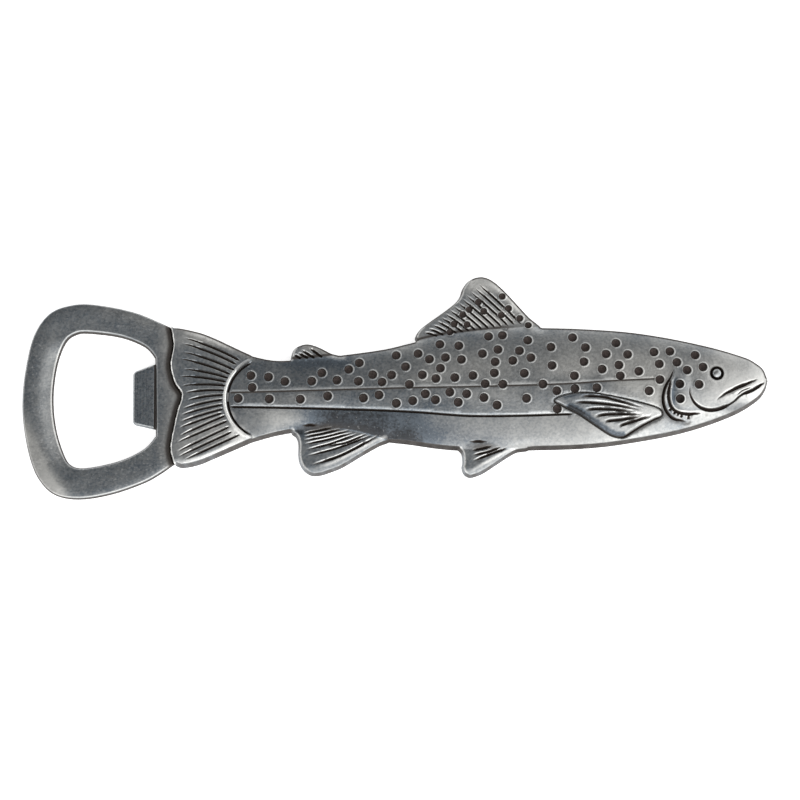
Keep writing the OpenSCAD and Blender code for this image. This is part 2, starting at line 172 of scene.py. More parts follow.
# Grooves of the fins. The dorsal fin's are spaced evenly from the first to the last
DORSAL_GROOVES = 14
DORSAL_FIRST_GROOVE = [[7, 12.9], [10, 12]]
DORSAL_LAST_GROOVE = [[19.7, 24.8], [30.1, 14.9]]
ANAL_GROOVES = [[[-21.8, -11.3], [-18.5, -10.7], [-14.9, -9.9]],
                [[-21.8, -12.1], [-17.5, -11.4], [-13.1, -10.3]],
                [[-21.8, -13], [-16.5, -12.1], [-11, -10.6]],
                [[-21.6, -13.9], [-16.5, -12.9], [-10.2, -11.2]],
                [[-21.1, -15.2], [-15.5, -13.8], [-9, -11.4]], [[-16.4, -14.3], [-12, -13.6], [-7, -11.5]],
                [[-21, -16.7], [-14, -14.9], [-5.8, -11.8]],
                [[-19.9, -18.9], [-12.5, -16.4], [-4.2, -11.9]]]
PELVIC_GROOVES = [[[18.2, -15.4], [20.4, -15], [22.9, -14.4]], [[18.4, -16.5], [21.8, -15.8], [25, -14.6]],
                  [[18.4, -17.9], [21.8, -16.6], [26.5, -14.8]]]
ADIPOSE_GROOVES = [[[-24.1, 7.6], [-22.5, 6.6]], [[-23.1, 8], [-20.8, 6.7]], [[-22.4, 8.7], [-19.2, 6.7]],
                   [[-20.5, 9.2], [-17.4, 6.9]]]
PECTORAL_GROOVES = [[[44, -2.8], [49, -3], [53, -4], [58.5, -5.5]], [[42.5, -4.2], [50, -4.7], [58, -6]],
                    [[45, -6], [50, -5.9], [56.8, -6.5]], [[47.3, -7.6], [51, -7.1], [58.5, -7.1]],
                    [[49.5, -8.8], [54, -8.3], [58.5, -7.5]], [[52.9, -9.9], [57, -8.6], [60.7, -7.4]]]

# Painted highlights in bands where the leading edges roll over, each with half its width
ANAL_BAND = [[-19, -19.6], [-15.2, -18.4], [-12.7, -17.2], [-10.2, -15.9], [-5.2, -13.2], [-1.8, -12.1]]
PELVIC_BAND = [[17.8, -20.4], [21, -18.5], [23, -17.4], [25, -16.3], [27, -15.4], [29.3, -14.8]]
TAIL_BAND = [[-50.5, -18.3], [-46, -17.1], [-42, -15.6], [-38, -13.5], [-35, -12.2]]
DORSAL_BAND = [[22.5, 25], [26, 22.3], [28.5, 19.6], [31.5, 16.4]]
TAIL_UPPER_BAND = [[-50.5, 12.9], [-46, 11.9], [-42, 10.3], [-38.3, 8.3]]
BANDS = ((ANAL_BAND, 0.62), (PELVIC_BAND, 0.58), (TAIL_BAND, 0.65), (DORSAL_BAND, 0.9),
         (TAIL_UPPER_BAND, 0.8))

# The tail's root: its arc, a short ridge beside it and a painted highlight on it
ROOT_CENTRE = (-30.4, -2.9)
ROOT_R = 9.8
ROOT_RIDGE = [(-39.2, -5.2), (-38.9, -6.5), (-38, -8.2)]
ROOT_SHINE = (-37.6, -11.6)

# The bright line where the tail forks
FORK_LINE = [(-53.3, -0.1), (-52.6, -1.3), (-51.8, -2.4)]

# Slots above the lower fins' roots, from end to end with their sag, and a spot at the dorsal fin's
# root that was cast shut
ROOT_SLOTS = [((-22.3, -9.5), (-18.3, -9.4), 0.1), ((17.5, -13.4), (21.9, -13.4), 0.05)]
SHUT_SPOT = (26.1, 14.1)

# Tips made lighter with painted highlights, and shaded places: place, reach in x and y
DORSAL_TIP = (20.8, 25, 4.2, 2.4)
PECTORAL_TIP = (60.5, -7.2, 4.2, 2.6)
GILL_SHADE = (67, 1.2, 2.6, 5.2)
GILL_FRONT_SHADE = (65, -4, 1.5, 3)

# How dark the skin is made along the body, and what the belly adds to it: places in x, then amounts
TONE_ALONG = [[-55, -25, 0, 25, 50, 68, 78, 89], [0.78, 0.8, 0.72, 0.66, 0.5, 0.3, 0.14, 0.1]]
BELLY_TONE_ALONG = [[-39, -30, -26, -15, 4, 16, 30, 50, 60, 75, 88],
                       [0.1, -0.2, -0.2, 0.4, 0.2, 0.12, 0.06, 0.05, 0.1, 0.3, 0.4]]
# Patches made lighter (negative) or darker: place, reach in x and y, amount
TONE_PATCHES = [(15, 4, 13, 3, -0.25), (41, 3.5, 5, 2, -0.25), (24, -2.5, 9, 2, -0.25), (5, -12, 11, 2.5, 0.3),
        (-43, 11.3, 9, 2, -0.8), (8, -5, 6, 1.5, 0.25), (20, 15.5, 8, 2.5, -0.35), (5, 12.5, 3, 2, -0.3),
        (35, -2.5, 4, 2, 0.15), (-43, -11, 6, 3.5, -0.7), (-50, -15, 3, 3, -0.45), (-31, -6, 5, 2.5, -0.2),
        (-24, -3, 5, 1.5, -0.35), (-14, 6, 7, 2.2, 0.1), (8, 1.5, 5, 1.5, -0.4), (1, 9.5, 5, 2, -0.3),
        (-6, -2.5, 5, 1.5, 0.2), (20, 12.5, 17, 1.5, 0.2), (22, 4.5, 8, 4, -0.3), (44, 5, 9, 3.5, -0.4),
        (58, 2.5, 5, 4, -0.9), (47, -0.5, 4, 1.5, 0.25), (59, 12, 5, 2.5, 0.3), (73, 8.5, 6, 2.5, 0.55),
        (71, 0, 2.5, 3.5, 0.38), (34.6, 14.2, 1.5, 1, 0.6), (48.5, 0.5, 3, 2, 0.15),
        (65.4, -4, 1.2, 3, 0.4), (62, -3, 2, 2.5, -0.45), (84, 5.5, 4, 2.5, 0.25), (82, -5.5, 6, 2, 0.55),
        (66, -12, 9, 2, 0.15), (-23, -10.8, 4, 1.5, 0.6), (20, -13.5, 6, 1.5, 0.2), (67, -9, 5, 2, 0.35),
        (20, 24.5, 5, 3, -0.5), (24, 16.5, 6, 3, -0.35), (-19.5, 8.8, 4, 1.4, -0.4),
        (-27, -8.5, 5, 2, -0.3), (-41, 5.5, 3, 3, -0.25), (-19, 5.8, 8, 1.6, 0.35)]
# The same without an amount for the chin, and the brown haze at the roots of the lower fins
CHIN = (82, -5.5, 6, 2.2)
ROOT_HAZE = [(-17.5, -10.1, 7, 1.2, 0.5), (-9, -10.2, 6, 1.6, 0.25), (20.5, -14.5, 5, 1.2, 0.5)]


# ---------------------------------------------------------------- plane curves

def smooth(points, closed=False, steps=8):
    """Catmull-Rom curve through the points."""
    p = np.array(points, float)
    before, after = (p[-1:], p[:2]) if closed else (p[:1], p[-1:])
    p = np.vstack([before, p, after])
    out = []
    for a, b, c, d in zip(p, p[1:], p[2:], p[3:]):
        for t in np.arange(steps) / steps:
            out.append(0.5 * (2 * b + (c - a) * t + (2 * a - 5 * b + 4 * c - d) * t * t
                              + (3 * b - a - 3 * c + d) * t ** 3))
    return np.array(out if closed else out + [p[-1]])


def looped(loop):
    """The loop with its first point again at its end."""
    return np.vstack([loop, loop[:1]])


def lengths(line):
    """Distance along the line at each of its points."""
    return np.concatenate([[0], np.cumsum(np.linalg.norm(np.diff(line, axis=0), axis=1))])


def even(line, spacing):
    """The line again, with its points evenly spread."""
    line = np.asarray(line, float)
    along = lengths(line)
    count = max(2, int(round(along[-1] / spacing)) + 1)
    places = np.linspace(0, along[-1], count)
    return np.stack([np.interp(places, along, line[:, k]) for k in (0, 1)], 1)


def normals(line):
    """Unit normals to the left of the line."""
    d = np.gradient(line, axis=0)
    d /= np.maximum(np.linalg.norm(d, axis=1, keepdims=True), 1e-9)
    return np.stack([-d[:, 1], d[:, 0]], 1)


def inside(points, loop):
    """Which points lie inside a closed loop."""
    x, y = points[:, 0], points[:, 1]
    found = np.zeros(len(points), bool)
    for (ax, ay), (bx, by) in zip(loop, np.roll(loop, -1, axis=0)):
        if ay == by:
            continue
        crosses = (ay > y) != (by > y)
        found ^= crosses & (x < (bx - ax) * (y - ay) / (by - ay) + ax)
    return found


def near(points, line, reach):
    """For points within reach of a line: their row numbers, signed distance across it
    (positive on the left) and place along it from 0 to 1."""
    line = np.asarray(line, float)
    best = np.full(len(points), reach)
    side = np.ones(len(points))
    place = np.zeros(len(points))
    total = lengths(line)
    x, y = points[:, 0], points[:, 1]
    candidates = np.nonzero((x > line[:, 0].min() - reach) & (x < line[:, 0].max() + reach)
                            & (y > line[:, 1].min() - reach) & (y < line[:, 1].max() + reach))[0]
    cx, cy = x[candidates], y[candidates]
    for a, b, start in zip(line, line[1:], total):
        d = b - a
        size = float(d @ d)
        if size < 1e-12:
            continue
        low, high = np.minimum(a, b) - reach, np.maximum(a, b) + reach
        rows = candidates[(cx > low[0]) & (cx < high[0]) & (cy > low[1]) & (cy < high[1])]
        px, py = x[rows] - a[0], y[rows] - a[1]
        t = np.clip((px * d[0] + py * d[1]) / size, 0, 1)
        gap = np.hypot(px - t * d[0], py - t * d[1])
        closer = gap < best[rows]
        rows = rows[closer]
        best[rows] = gap[closer]
        side[rows] = np.where(d[0] * py[closer] - d[1] * px[closer] >= 0, 1.0, -1.0)
        place[rows] = (start + t[closer] * math.sqrt(size)) / total[-1]
    rows = np.nonzero(best < reach)[0]
    return rows, best[rows] * side[rows], place[rows]


def line_gap(points, line, reach):
    """Distance from a line, up to reach."""
    rows, across, _ = near(points, line, reach)
    gap = np.full(len(points), reach, float)
    gap[rows] = np.abs(across)
    return gap


def edge_gap(points, loop, reach):
    """Distance from a closed loop, up to reach."""
    return line_gap(points, looped(loop), reach)


def depth_inside(points, loop, reach):
    """Distance inside a loop, negative outside it, both up to reach."""
    gap = edge_gap(points, loop, reach)
    return np.where(inside(points, loop), gap, -gap)


def step(value, low, high):
    """Smooth step from 0 at low to 1 at high."""
    t = np.clip((value - low) / (high - low), 0, 1)
    return t * t * (3 - 2 * t)


def fall(value, low, high):
    """Smooth step from 1 at low to 0 at high."""
    return 1 - step(value, low, high)


def bell(value, centre, width):
    """1 at the centre, fading out at about twice the width from it."""
    return np.exp(-((value - centre) / width) ** 2)


def soft_min(a, b, r):
    """The lower of two heights, rounded over r where they meet."""
    h = np.clip(0.5 + 0.5 * (b - a) / r, 0, 1)
    return b * (1 - h) + a * h - r * h * (1 - h)


def soft_max(a, b, r):
    """The higher of two heights, rounded over r where they meet."""
    return -soft_min(-a, -b, r)


def ripple(x, y, size, seed):
    """Smooth seeded noise of about -1 to 1, with features of that size."""
    rng = np.random.default_rng(seed)
    total = np.zeros_like(x)
    waves = 10
    for _ in range(waves):
        angle, phase = rng.uniform(0, 2 * math.pi, 2)
        rate = 2 * math.pi / (size * rng.uniform(0.7, 1.9))
        total += np.sin(rate * (x * math.cos(angle) + y * math.sin(angle)) + phase)
    return total / math.sqrt(waves) * 0.8


def spread(first, last, count):
    """Lines spaced evenly from a first one to a last one."""
    first, last = np.array(first, float), np.array(last, float)
    return [first + (last - first) * share for share in np.linspace(0, 1, count)]


def bowed(a, b, sag):
    """A slightly curved line from a to b, bulging to its left by sag."""
    a, b = np.array(a, float), np.array(b, float)
    t = np.linspace(0, 1, 9)[:, None]
    way = (b - a) / np.linalg.norm(b - a)
    return a + (b - a) * t + np.array([-way[1], way[0]]) * (4 * sag * t * (1 - t))


# ---------------------------------------------------------------- lines of the cast fish

BACK_CURVE, BELLY_CURVE, DOME_CURVE = smooth(BACK_LINE), smooth(BELLY_LINE), smooth(DOME_LINE)
TRAIL_CURVE = smooth(TRAILING_EDGE)


def across_body(x, y):
    """-1 at the belly's edge, 0 on the crest, 1 at the back's edge."""
    top = np.interp(x, *BACK_CURVE.T)
    low = np.interp(x, *BELLY_CURVE.T)
    return (2 * y - top - low) / np.maximum(top - low, 0.01)


def flank(x, y):
    """Height of the body's domed flank."""
    a = np.clip(np.abs(across_body(x, y)), 0, 1)
    dome = np.interp(x, *DOME_CURVE.T)
    return EDGE_T + DOME_H * dome * (1 - a * a) ** 0.75


def fish_loops():
    """Closed outlines of the body, the tail and the four flat fins."""
    body = np.vstack([BACK_CURVE, BELLY_CURVE[::-1][1:]])
    tail = np.vstack([TRAIL_CURVE[:-1], smooth(TAIL_LOWER_EDGE), smooth(TAIL_UPPER_EDGE)[:-1]])
    return {"body": body, "tail": tail, "dorsal": smooth(DORSAL), "adipose": smooth(ADIPOSE),
            "anal": smooth(ANAL), "pelvic": smooth(PELVIC)}


def tail_grooves():
    """The fan of grooves on the tail, each from its left end to the root."""
    sags = np.interp(range(len(TAIL_GROOVES)), [0, 3, 8, 12, 17], [0.45, 0.4, 0.3, 0.1, 0.0])
    return [bowed(a, b, sag) for (a, b), sag in zip(TAIL_GROOVES, sags)]


def fin_grooves():
    """Grooves of the flat fins, left end first: (line, width, depth)."""
    out = [(bowed(a, b, 0.15), 0.34, 0.4)
           for a, b in spread(DORSAL_FIRST_GROOVE, DORSAL_LAST_GROOVE, DORSAL_GROOVES)]
    out += [(even(line, 0.4), 0.46, 0.45) for line in ADIPOSE_GROOVES]
    out += [(smooth(line), 0.34, 0.34) for line in ANAL_GROOVES[:-1]]
    out += [(smooth(ANAL_GROOVES[-1]), 0.5, 0.42)]
    out += [(smooth(line), 0.4, 0.38) for line in PELVIC_GROOVES]
    return out


def root_slots():
    """Two short slots above the roots of the lower fins."""
    return [bowed(*slot) for slot in ROOT_SLOTS]


def pectoral_grooves():
    """Wedge grooves of the pectoral fin, left end first."""
    return [smooth(line) for line in PECTORAL_GROOVES]


def root_arc(first_r, last_r, first=112, last=248):
    """Arc round the tail's root, from its upper end down."""
    share = np.linspace(0, 1, 40)
    angles = np.radians(first + (last - first) * share)
    r = first_r + (last_r - first_r) * share
    return np.stack([ROOT_CENTRE[0] + r * np.cos(angles), ROOT_CENTRE[1] + r * np.sin(angles)], 1)


def enamel_spots():
    """Centre, radius and upper height of each enamel disc of the CAD model, in millimetres."""
    mesh = bmesh.new()
    mesh.from_mesh(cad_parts["spot_enamel"].data)
    bmesh.ops.remove_doubles(mesh, verts=mesh.verts, dist=1e-6)
    seen, spots = set(), []
    for start in mesh.verts:
        disc, todo = [], [start]
        while todo:
            v = todo.pop()
            if v not in seen:
                seen.add(v)
                disc.append(v.co / MM)
                todo += [e.other_vert(v) for e in v.link_edges]
        if disc:
            low, high = np.min(disc, axis=0), np.max(disc, axis=0)
            spots.append(((low + high)[:2] / 2, (high - low)[0] / 2, high[2]))
    mesh.free()
    return sorted(spots, key=lambda s: (round(s[0][0], 2), round(s[0][1], 2)))


SPOTS = enamel_spots()
LOOPS = fish_loops()


# ---------------------------------------------------------------- the cast fish's relief

class Relief:
    """Height, and grime, polish and tarnish with the painted shade and highlights they carry, at a set of
    plane points, changed feature by feature.
    """

    def __init__(self, points):
        self.p = points
        self.x, self.y = points.T
        self.z, self.grime, self.polish, self.tarnish_and_shade = np.zeros((4, len(points)))

    def values(self):
        return self.z, self.grime, self.polish, self.tarnish_and_shade

    def patch(self, x, y, reach_x, reach_y):
        """1 at a place, fading out over its reach."""
        return np.exp(-((self.x - x) / reach_x) ** 2 - ((self.y - y) / reach_y) ** 2)

    def away(self, x, y, reach_x=1, reach_y=1):
        """Distance from a place, in reaches."""
        return np.hypot((self.x - x) / reach_x, (self.y - y) / reach_y)

    def darken(self, amount, rows=ALL):
        self.grime[rows] = np.maximum(self.grime[rows], amount)

    def shine(self, amount, rows=ALL):
        self.polish[rows] = np.maximum(self.polish[rows], amount)

    def groove(self, line, width, depth, slope=0.0, taper=0.12, grime=1.0, steep=0.12, glint=0.0, side=1):
        """Cuts a groove along a line. slope widens the wall on its left, whose crest may glint,
        or on its right where side is -1."""
        rows, across, place = near(self.p, line, width + slope + steep + 0.5)
        across = across * side
        first, last = np.broadcast_to(taper, 2)
        fade = np.clip(np.minimum(place / first, (1 - place) / last), 0, 1)
        ends = fade ** 0.6
        half = width / 2 * ends + 1e-4
        left = np.clip((across - half) / (steep + slope), 0, 1)
        right = np.clip((-across - half) / steep, 0, 1)
        self.z[rows] -= depth * fall(left, 0, 1) * fall(right, 0, 1) * fade
        shift = 0.2 * steep * side
        floor = fall(np.abs(across + shift), half + 0.1 * steep, half + 0.9 * steep)
        self.darken(grime * floor * np.minimum(1, ends * 1.5), rows)
        crest = half + steep + 0.6 * slope
        glint = np.interp(place, np.linspace(0, 1, np.size(glint)), np.atleast_1d(glint))
        self.shine(glint * bell(across, crest, 0.11) * ends, rows)

    def ridge(self, line, width, height, taper=0.08, polish=0.8):
        """Raises a round ridge along a line and polishes its crest."""
        rows, across, place = near(self.p, line, width)
        ends = np.clip(np.minimum(place, 1 - place) / taper, 0, 1) ** 0.6
        shape = np.cos(np.clip(np.abs(across) / width, 0, 1) * math.pi / 2) ** 2 * ends
        self.z[rows] += height * shape
        self.shine(polish * shape, rows)

    def pit(self, centre, radius, floor):
        """A round pit with a flat floor, a steep wall and a thin raised rim, set a little to the right."""
        dx, dy = self.x - centre[0], self.y - centre[1]
        rows = np.nonzero(np.maximum(np.abs(dx), np.abs(dy)) < radius + 0.9)[0]
        dx, dy = dx[rows], dy[rows]
        r = np.hypot(dx, dy)
        rim = np.hypot(dx - RIM_SHIFT, dy) - radius - RIM_OUT
        wall = step(r, radius, radius + 0.08)
        self.z[rows] = floor + (self.z[rows] + RIM_H * bell(rim, 0, 0.11) - floor) * wall
        self.grime[rows] *= step(r, radius, radius + 0.3)
        self.darken(fall(r, radius + 0.02, radius + 0.1), rows)
        # Painted shadow in the gap inside the rim, widest where the rim is set off to the right
        self.darken(0.8 * fall(rim, -0.22, -0.1), rows)
        # The rim's polish, with a painted highlight brighter towards the right and upwards, and painted
        # shade just outside the rim
        highlight_side = (dx + 0.5 * dy) / np.maximum(r, 0.01)
        self.shine((0.36 + 0.36 * highlight_side) * bell(rim, 0, 0.085), rows)
        self.darken(0.3 * bell(rim, 0.27, 0.13), rows)


def tone(r):
    """How light or dark the cast skin is made, before the details are worked into it."""
    r.tarnish_and_shade += np.interp(r.x, *TONE_ALONG)
    r.polish += 0.3 * step(r.x, 66, 84) * step(r.y, -5.5, -2)
    # The belly, made darker over its middle and darkest towards its edge
    edge = r.y - np.interp(r.x, *BELLY_CURVE.T)
    below = np.interp(r.x, *np.array(BELLY_GROOVE).T) - r.y
    belly = step(below, -0.2, 0.5) * (r.x > -39) * step(edge, -0.1, 0.5)
    front = step(r.x, -2, 14)
    darker_middle = belly * step(r.x, -25, -13) * (1 - front)
    r.tarnish_and_shade += belly * np.interp(r.x, *BELLY_TONE_ALONG)
    r.tarnish_and_shade += darker_middle * (0.35 + 0.25 * fall(edge, 0.4, 2.4))
    r.tarnish_and_shade -= 0.22 * front * belly
    r.darken(belly * (0.12 + 0.1 * front * fall(r.x, 40, 60)))
    r.darken(0.3 * r.patch(*CHIN))
    for *place, amount in TONE_PATCHES:
        r.tarnish_and_shade += amount * r.patch(*place)
    r.tarnish_and_shade += 0.05 * ripple(r.x, r.y, 5.0, 31) + 0.03 * ripple(r.x, r.y, 1.8, 32)


def body_and_fins(r):
    """The domed body, the tail's blade and the four flat fins, whose leading edges roll over."""
    root_gap = r.away(*ROOT_CENTRE) - ROOT_R
    in_tail = inside(r.p, LOOPS["tail"]) & (root_gap > 0)
    r.z = np.where(in_tail, TAIL_T, flank(r.x, r.y))
    for name in FINS:
        fin = inside(r.p, LOOPS[name])
        r.z[fin] = soft_max(r.z[fin], np.full(fin.sum(), FIN_T), 0.12)
    # Each leading edge: its part of the outline, its width, its drop and how much lighter it is made
    for line, width, drop, lightened in ((DORSAL[10:17], 3.0, 0.5, 0.35), (ANAL[7:14], 2.3, 0.5, 0.1),
                                     (PELVIC[6:13], 2.3, 0.6, 0.1), (TAIL_LOWER_EDGE[1:], 2.0, 0.55, 0.3),
                                     (TAIL_UPPER_EDGE[:5], 2.4, 0.2, 0.4), (ADIPOSE[5:9], 2.2, 0.3, 0.5)):
        rows, across, _ = near(r.p, smooth(line), width)
        r.z[rows] -= drop * (1 - np.abs(across) / width) ** 2
        r.tarnish_and_shade[rows] -= lightened * step(width - np.abs(across), 0.2, width * 0.6)
    # Each band is a ridge of no height: only a painted highlight
    for band, half in BANDS:
        r.ridge(smooth(band), half, 0.0, taper=0.3)
    # The dorsal fin's tip made lighter, with a painted highlight
    dorsal_tip = r.away(*DORSAL_TIP)
    r.tarnish_and_shade -= 0.45 * fall(dorsal_tip, 0.5, 1.2)
    r.polish += 0.35 * fall(dorsal_tip, 0.4, 1.1)


def tail_details(r):
    """The root's ridge with a dark groove on its right, and the fan of grooves."""
    rows, across, place = near(r.p, root_arc(10.0, 10.5), 1.3)
    crest = fall(np.abs(across), 0.2, 0.45) * step(np.minimum(place, 1 - place), 0, 0.05)
    r.z[rows] += 0.3 * crest
    r.shine(crest * np.interp(place, [0, 0.12, 0.3, 1], [0.3, 0.5, 0.95, 1.0]), rows)
    # A painted highlight on the root's lower end
    r.shine(0.95 * fall(r.away(*ROOT_SHINE), 1.0, 3.0))
    r.groove(root_arc(9.3, 9.75, 114, 246)[::-1], 0.42, 0.5, taper=0.08)
    r.ridge(smooth(ROOT_RIDGE), 0.3, 0.05, taper=0.4, polish=0.7)
    for line in tail_grooves():
        height = line[0][1]
        if height > -1:
            r.groove(line, 0.42, 0.36, slope=0.06, taper=(0.35, 0.06), steep=0.08,
                     glint=(0, 0.2, 0.7), side=-1)
        else:
            glint = np.interp(height, [-18, -8, -1], [0.9, 0.7, 0.3])
            r.groove(line, 0.38, 0.34, slope=0.05, taper=(0.3, 0.06), glint=glint)


def fin_details(r):
    """Grooves of the flat fins, grime and slots at their roots, and a spot that was cast shut."""
    for line, width, depth in fin_grooves():
        upper = line[0][1] > 0
        r.groove(line, width, depth, slope=0.06, taper=(0.3, 0.1) if upper else 0.25,
                 glint=(0.3, 1.0) if upper else 0.85)
    rows, across, _ = near(r.p, LOOPS["body"], 1.4)
    dorsal_front = step(r.x[rows], 25, 31)
    for name in ("dorsal", "adipose"):
        within = inside(r.p[rows], LOOPS[name])
        r.darken(0.6 * fall(np.abs(across), 0.08, 0.7) * (1 - 0.7 * dorsal_front) * within, rows)
    for line in root_slots():
        r.groove(line, 0.44, 0.3, taper=0.5)
    for *place, amount in ROOT_HAZE:
        r.darken(amount * r.patch(*place))
    bump = r.away(*SHUT_SPOT)
    r.z += 0.22 * bell(bump, 0, 0.5)
    r.darken(0.5 * bell(bump, 0.75, 0.2))


def flank_lines(r):
    """The lateral line, dark with a faint ridge above it, and the crisp groove along the belly."""
    rows, across, _ = near(r.p, smooth(LATERAL_LINE), 0.9)
    r.z[rows] += 0.04 * bell(across, 0.36, 0.16) - 0.09 * bell(across, 0, 0.2)
    r.shine(0.3 * bell(across, 0.42, 0.16), rows)
    r.darken(0.85 * bell(across, 0, 0.24), rows)
    belly_groove = smooth(BELLY_GROOVE)
    rows, across, _ = near(r.p, belly_groove, 2.5)
    r.z[rows] += 0.02 * np.exp(-np.maximum(across, 0) / 1.2) * (across > -0.1)
    r.groove(belly_groove, 0.42, 0.34, steep=0.07, taper=0.01, glint=(0, 0, 0, 0.3))


def gill_cover(r):
    """An outer groove, a thin flange, an inner groove and a raised plate, with ticks below."""
    outer, inner, back = smooth(GILL_EDGE), smooth(GILL_INNER), smooth(GILL_BACK)
    lift = np.where(inside(r.p, np.vstack([outer, back])), PLATE_H, 0.0)
    lift *= step(line_gap(r.p, back, 4.0), 0.0, 3.6)
    r.z += lift
    # Blue-grey shade on the plate, deepest beside the inner groove
    r.tarnish_and_shade += 0.3 * fall(r.away(*GILL_SHADE), 0.4, 1.1) * (lift > 0)
    r.tarnish_and_shade += 0.35 * r.patch(*GILL_FRONT_SHADE)
    r.tarnish_and_shade += 0.3 * fall(line_gap(r.p, inner + normals(inner), 1.0), 0.1, 0.9)
    rows, across, _ = near(r.p, outer, 2.2)
    r.darken(0.4 * bell(across, -0.6, 0.55), rows)
    r.groove(outer, 0.5, 0.4, taper=(0.3, 0.2))
    r.groove(inner, 0.6, 0.36, taper=0.2)
    flange = (outer + normals(outer) * 0.62)[6:44]
    r.ridge(flange, 0.24, 0.14, polish=0.3, taper=0.2)
    r.ridge(inner + normals(inner) * 0.46, 0.3, 0.12, polish=0.75, taper=0.2)
    for tick in GILL_TICKS:
        r.groove(even(tick, 0.2), 0.44, 0.3, taper=0.3, steep=0.08, glint=0.8)
    r.darken(0.3 * r.patch(73.8, -7, 0.5, 0.4))


def jaws(r):
    """The jaw's curved groove, a broken stretch, the line of the lips and the upper jaw's fold."""
    r.groove(smooth(JAW_LINE), 0.66, 0.46, slope=0.06, taper=(0.5, 0.12), glint=(0.8, 0.6, 0.2, 0.2))
    r.groove(smooth(JAW_STRETCH), 0.3, 0.25, taper=0.06, grime=0.9)
    r.groove(smooth(JAW_SLIVER), 0.16, 0.15, taper=0.3, grime=0.7)
    r.groove(smooth(LIP_LINE), 0.6, 0.42, slope=0.05, taper=(0.25, 0.3), glint=0.5)
    fold = smooth(UPPER_JAW)
    r.groove(fold, 0.68, 0.38, slope=0.1, taper=(0.5, 0.35), glint=0.2)
    r.ridge(fold + np.array([0.35, -0.75]), 0.5, 0.1, taper=0.3, polish=0.4)


def pectoral_fin(r):
    """A raised leaf in a dark outline, with wedge grooves that meet towards its bright tip."""
    leaf = smooth(PECTORAL, closed=True)
    in_leaf = inside(r.p, leaf)
    rows, across, _ = near(r.p, looped(leaf), 1.6)
    gap, within = np.abs(across), in_leaf[rows]
    lift = np.where(in_leaf, PLATE_H, 0.0)
    lift[rows] *= step(gap, -0.1, 0.45)
    r.z += lift
    # The outline is a fine line above, fading towards the root, and a heavy one below the tip
    above = step(r.y[rows] + 3.4 + 0.17 * (r.x[rows] - 37), -0.6, 0.6)
    heavy = step(r.x[rows], 52, 55) * (1 - above)
    reach = 0.14 + 0.06 * (1 - above) + 0.12 * heavy
    r.z[rows] -= np.where(within, 0, 0.36 * fall(gap, reach, reach + 0.3))
    outline = np.where(within, fall(gap, 0.0, 0.12), fall(gap, reach, reach + 0.22))
    faint = above * fall(r.x[rows], 39, 47)
    r.darken(outline * (0.75 + 0.25 * heavy - 0.45 * faint), rows)
    tip = r.away(*PECTORAL_TIP)
    # A painted highlight on the pectoral fin's tip
    r.shine(0.4 * fall(tip, 0.5, 1.2) * in_leaf)
    r.tarnish_and_shade += (0.1 + 0.1 * fall(r.x, 42, 52) - 0.3 * fall(r.x, 38.4, 41)) * in_leaf
    for edge, width, amount in ((PECTORAL_LOWER_EDGE, 1.1, 0.85), (PECTORAL_UPPER_EDGE, 0.8, 0.2)):
        rows, across, _ = near(r.p, smooth(edge), 2.0)
        share = in_leaf[rows] * fall(np.abs(across), width - 0.3, width + 0.3)
        r.tarnish_and_shade[rows] += amount * share
        r.darken(0.2 * amount * share, rows)
    for line in pectoral_grooves():
        rows, across, place = near(r.p, line, 1.3)
        wedge = 0.1 + 0.2 * np.sin(math.pi * np.clip(place, 0, 1) ** 0.8)
        ends = np.clip(np.minimum(place / 0.15, (1 - place) / 0.35), 0, 1) ** 0.7
        wall = np.where(across > 0, 0.26, 0.14)
        r.z[rows] -= 0.45 * fall(np.abs(across), wedge, wedge + wall) * ends
        r.darken(fall(np.abs(across + 0.02), wedge, wedge + 0.12) * ends, rows)
        # A painted highlight beside each groove, brighter towards the tip
        r.shine(0.8 * place * bell(across, wedge + 0.3, 0.13) * in_leaf[rows], rows)


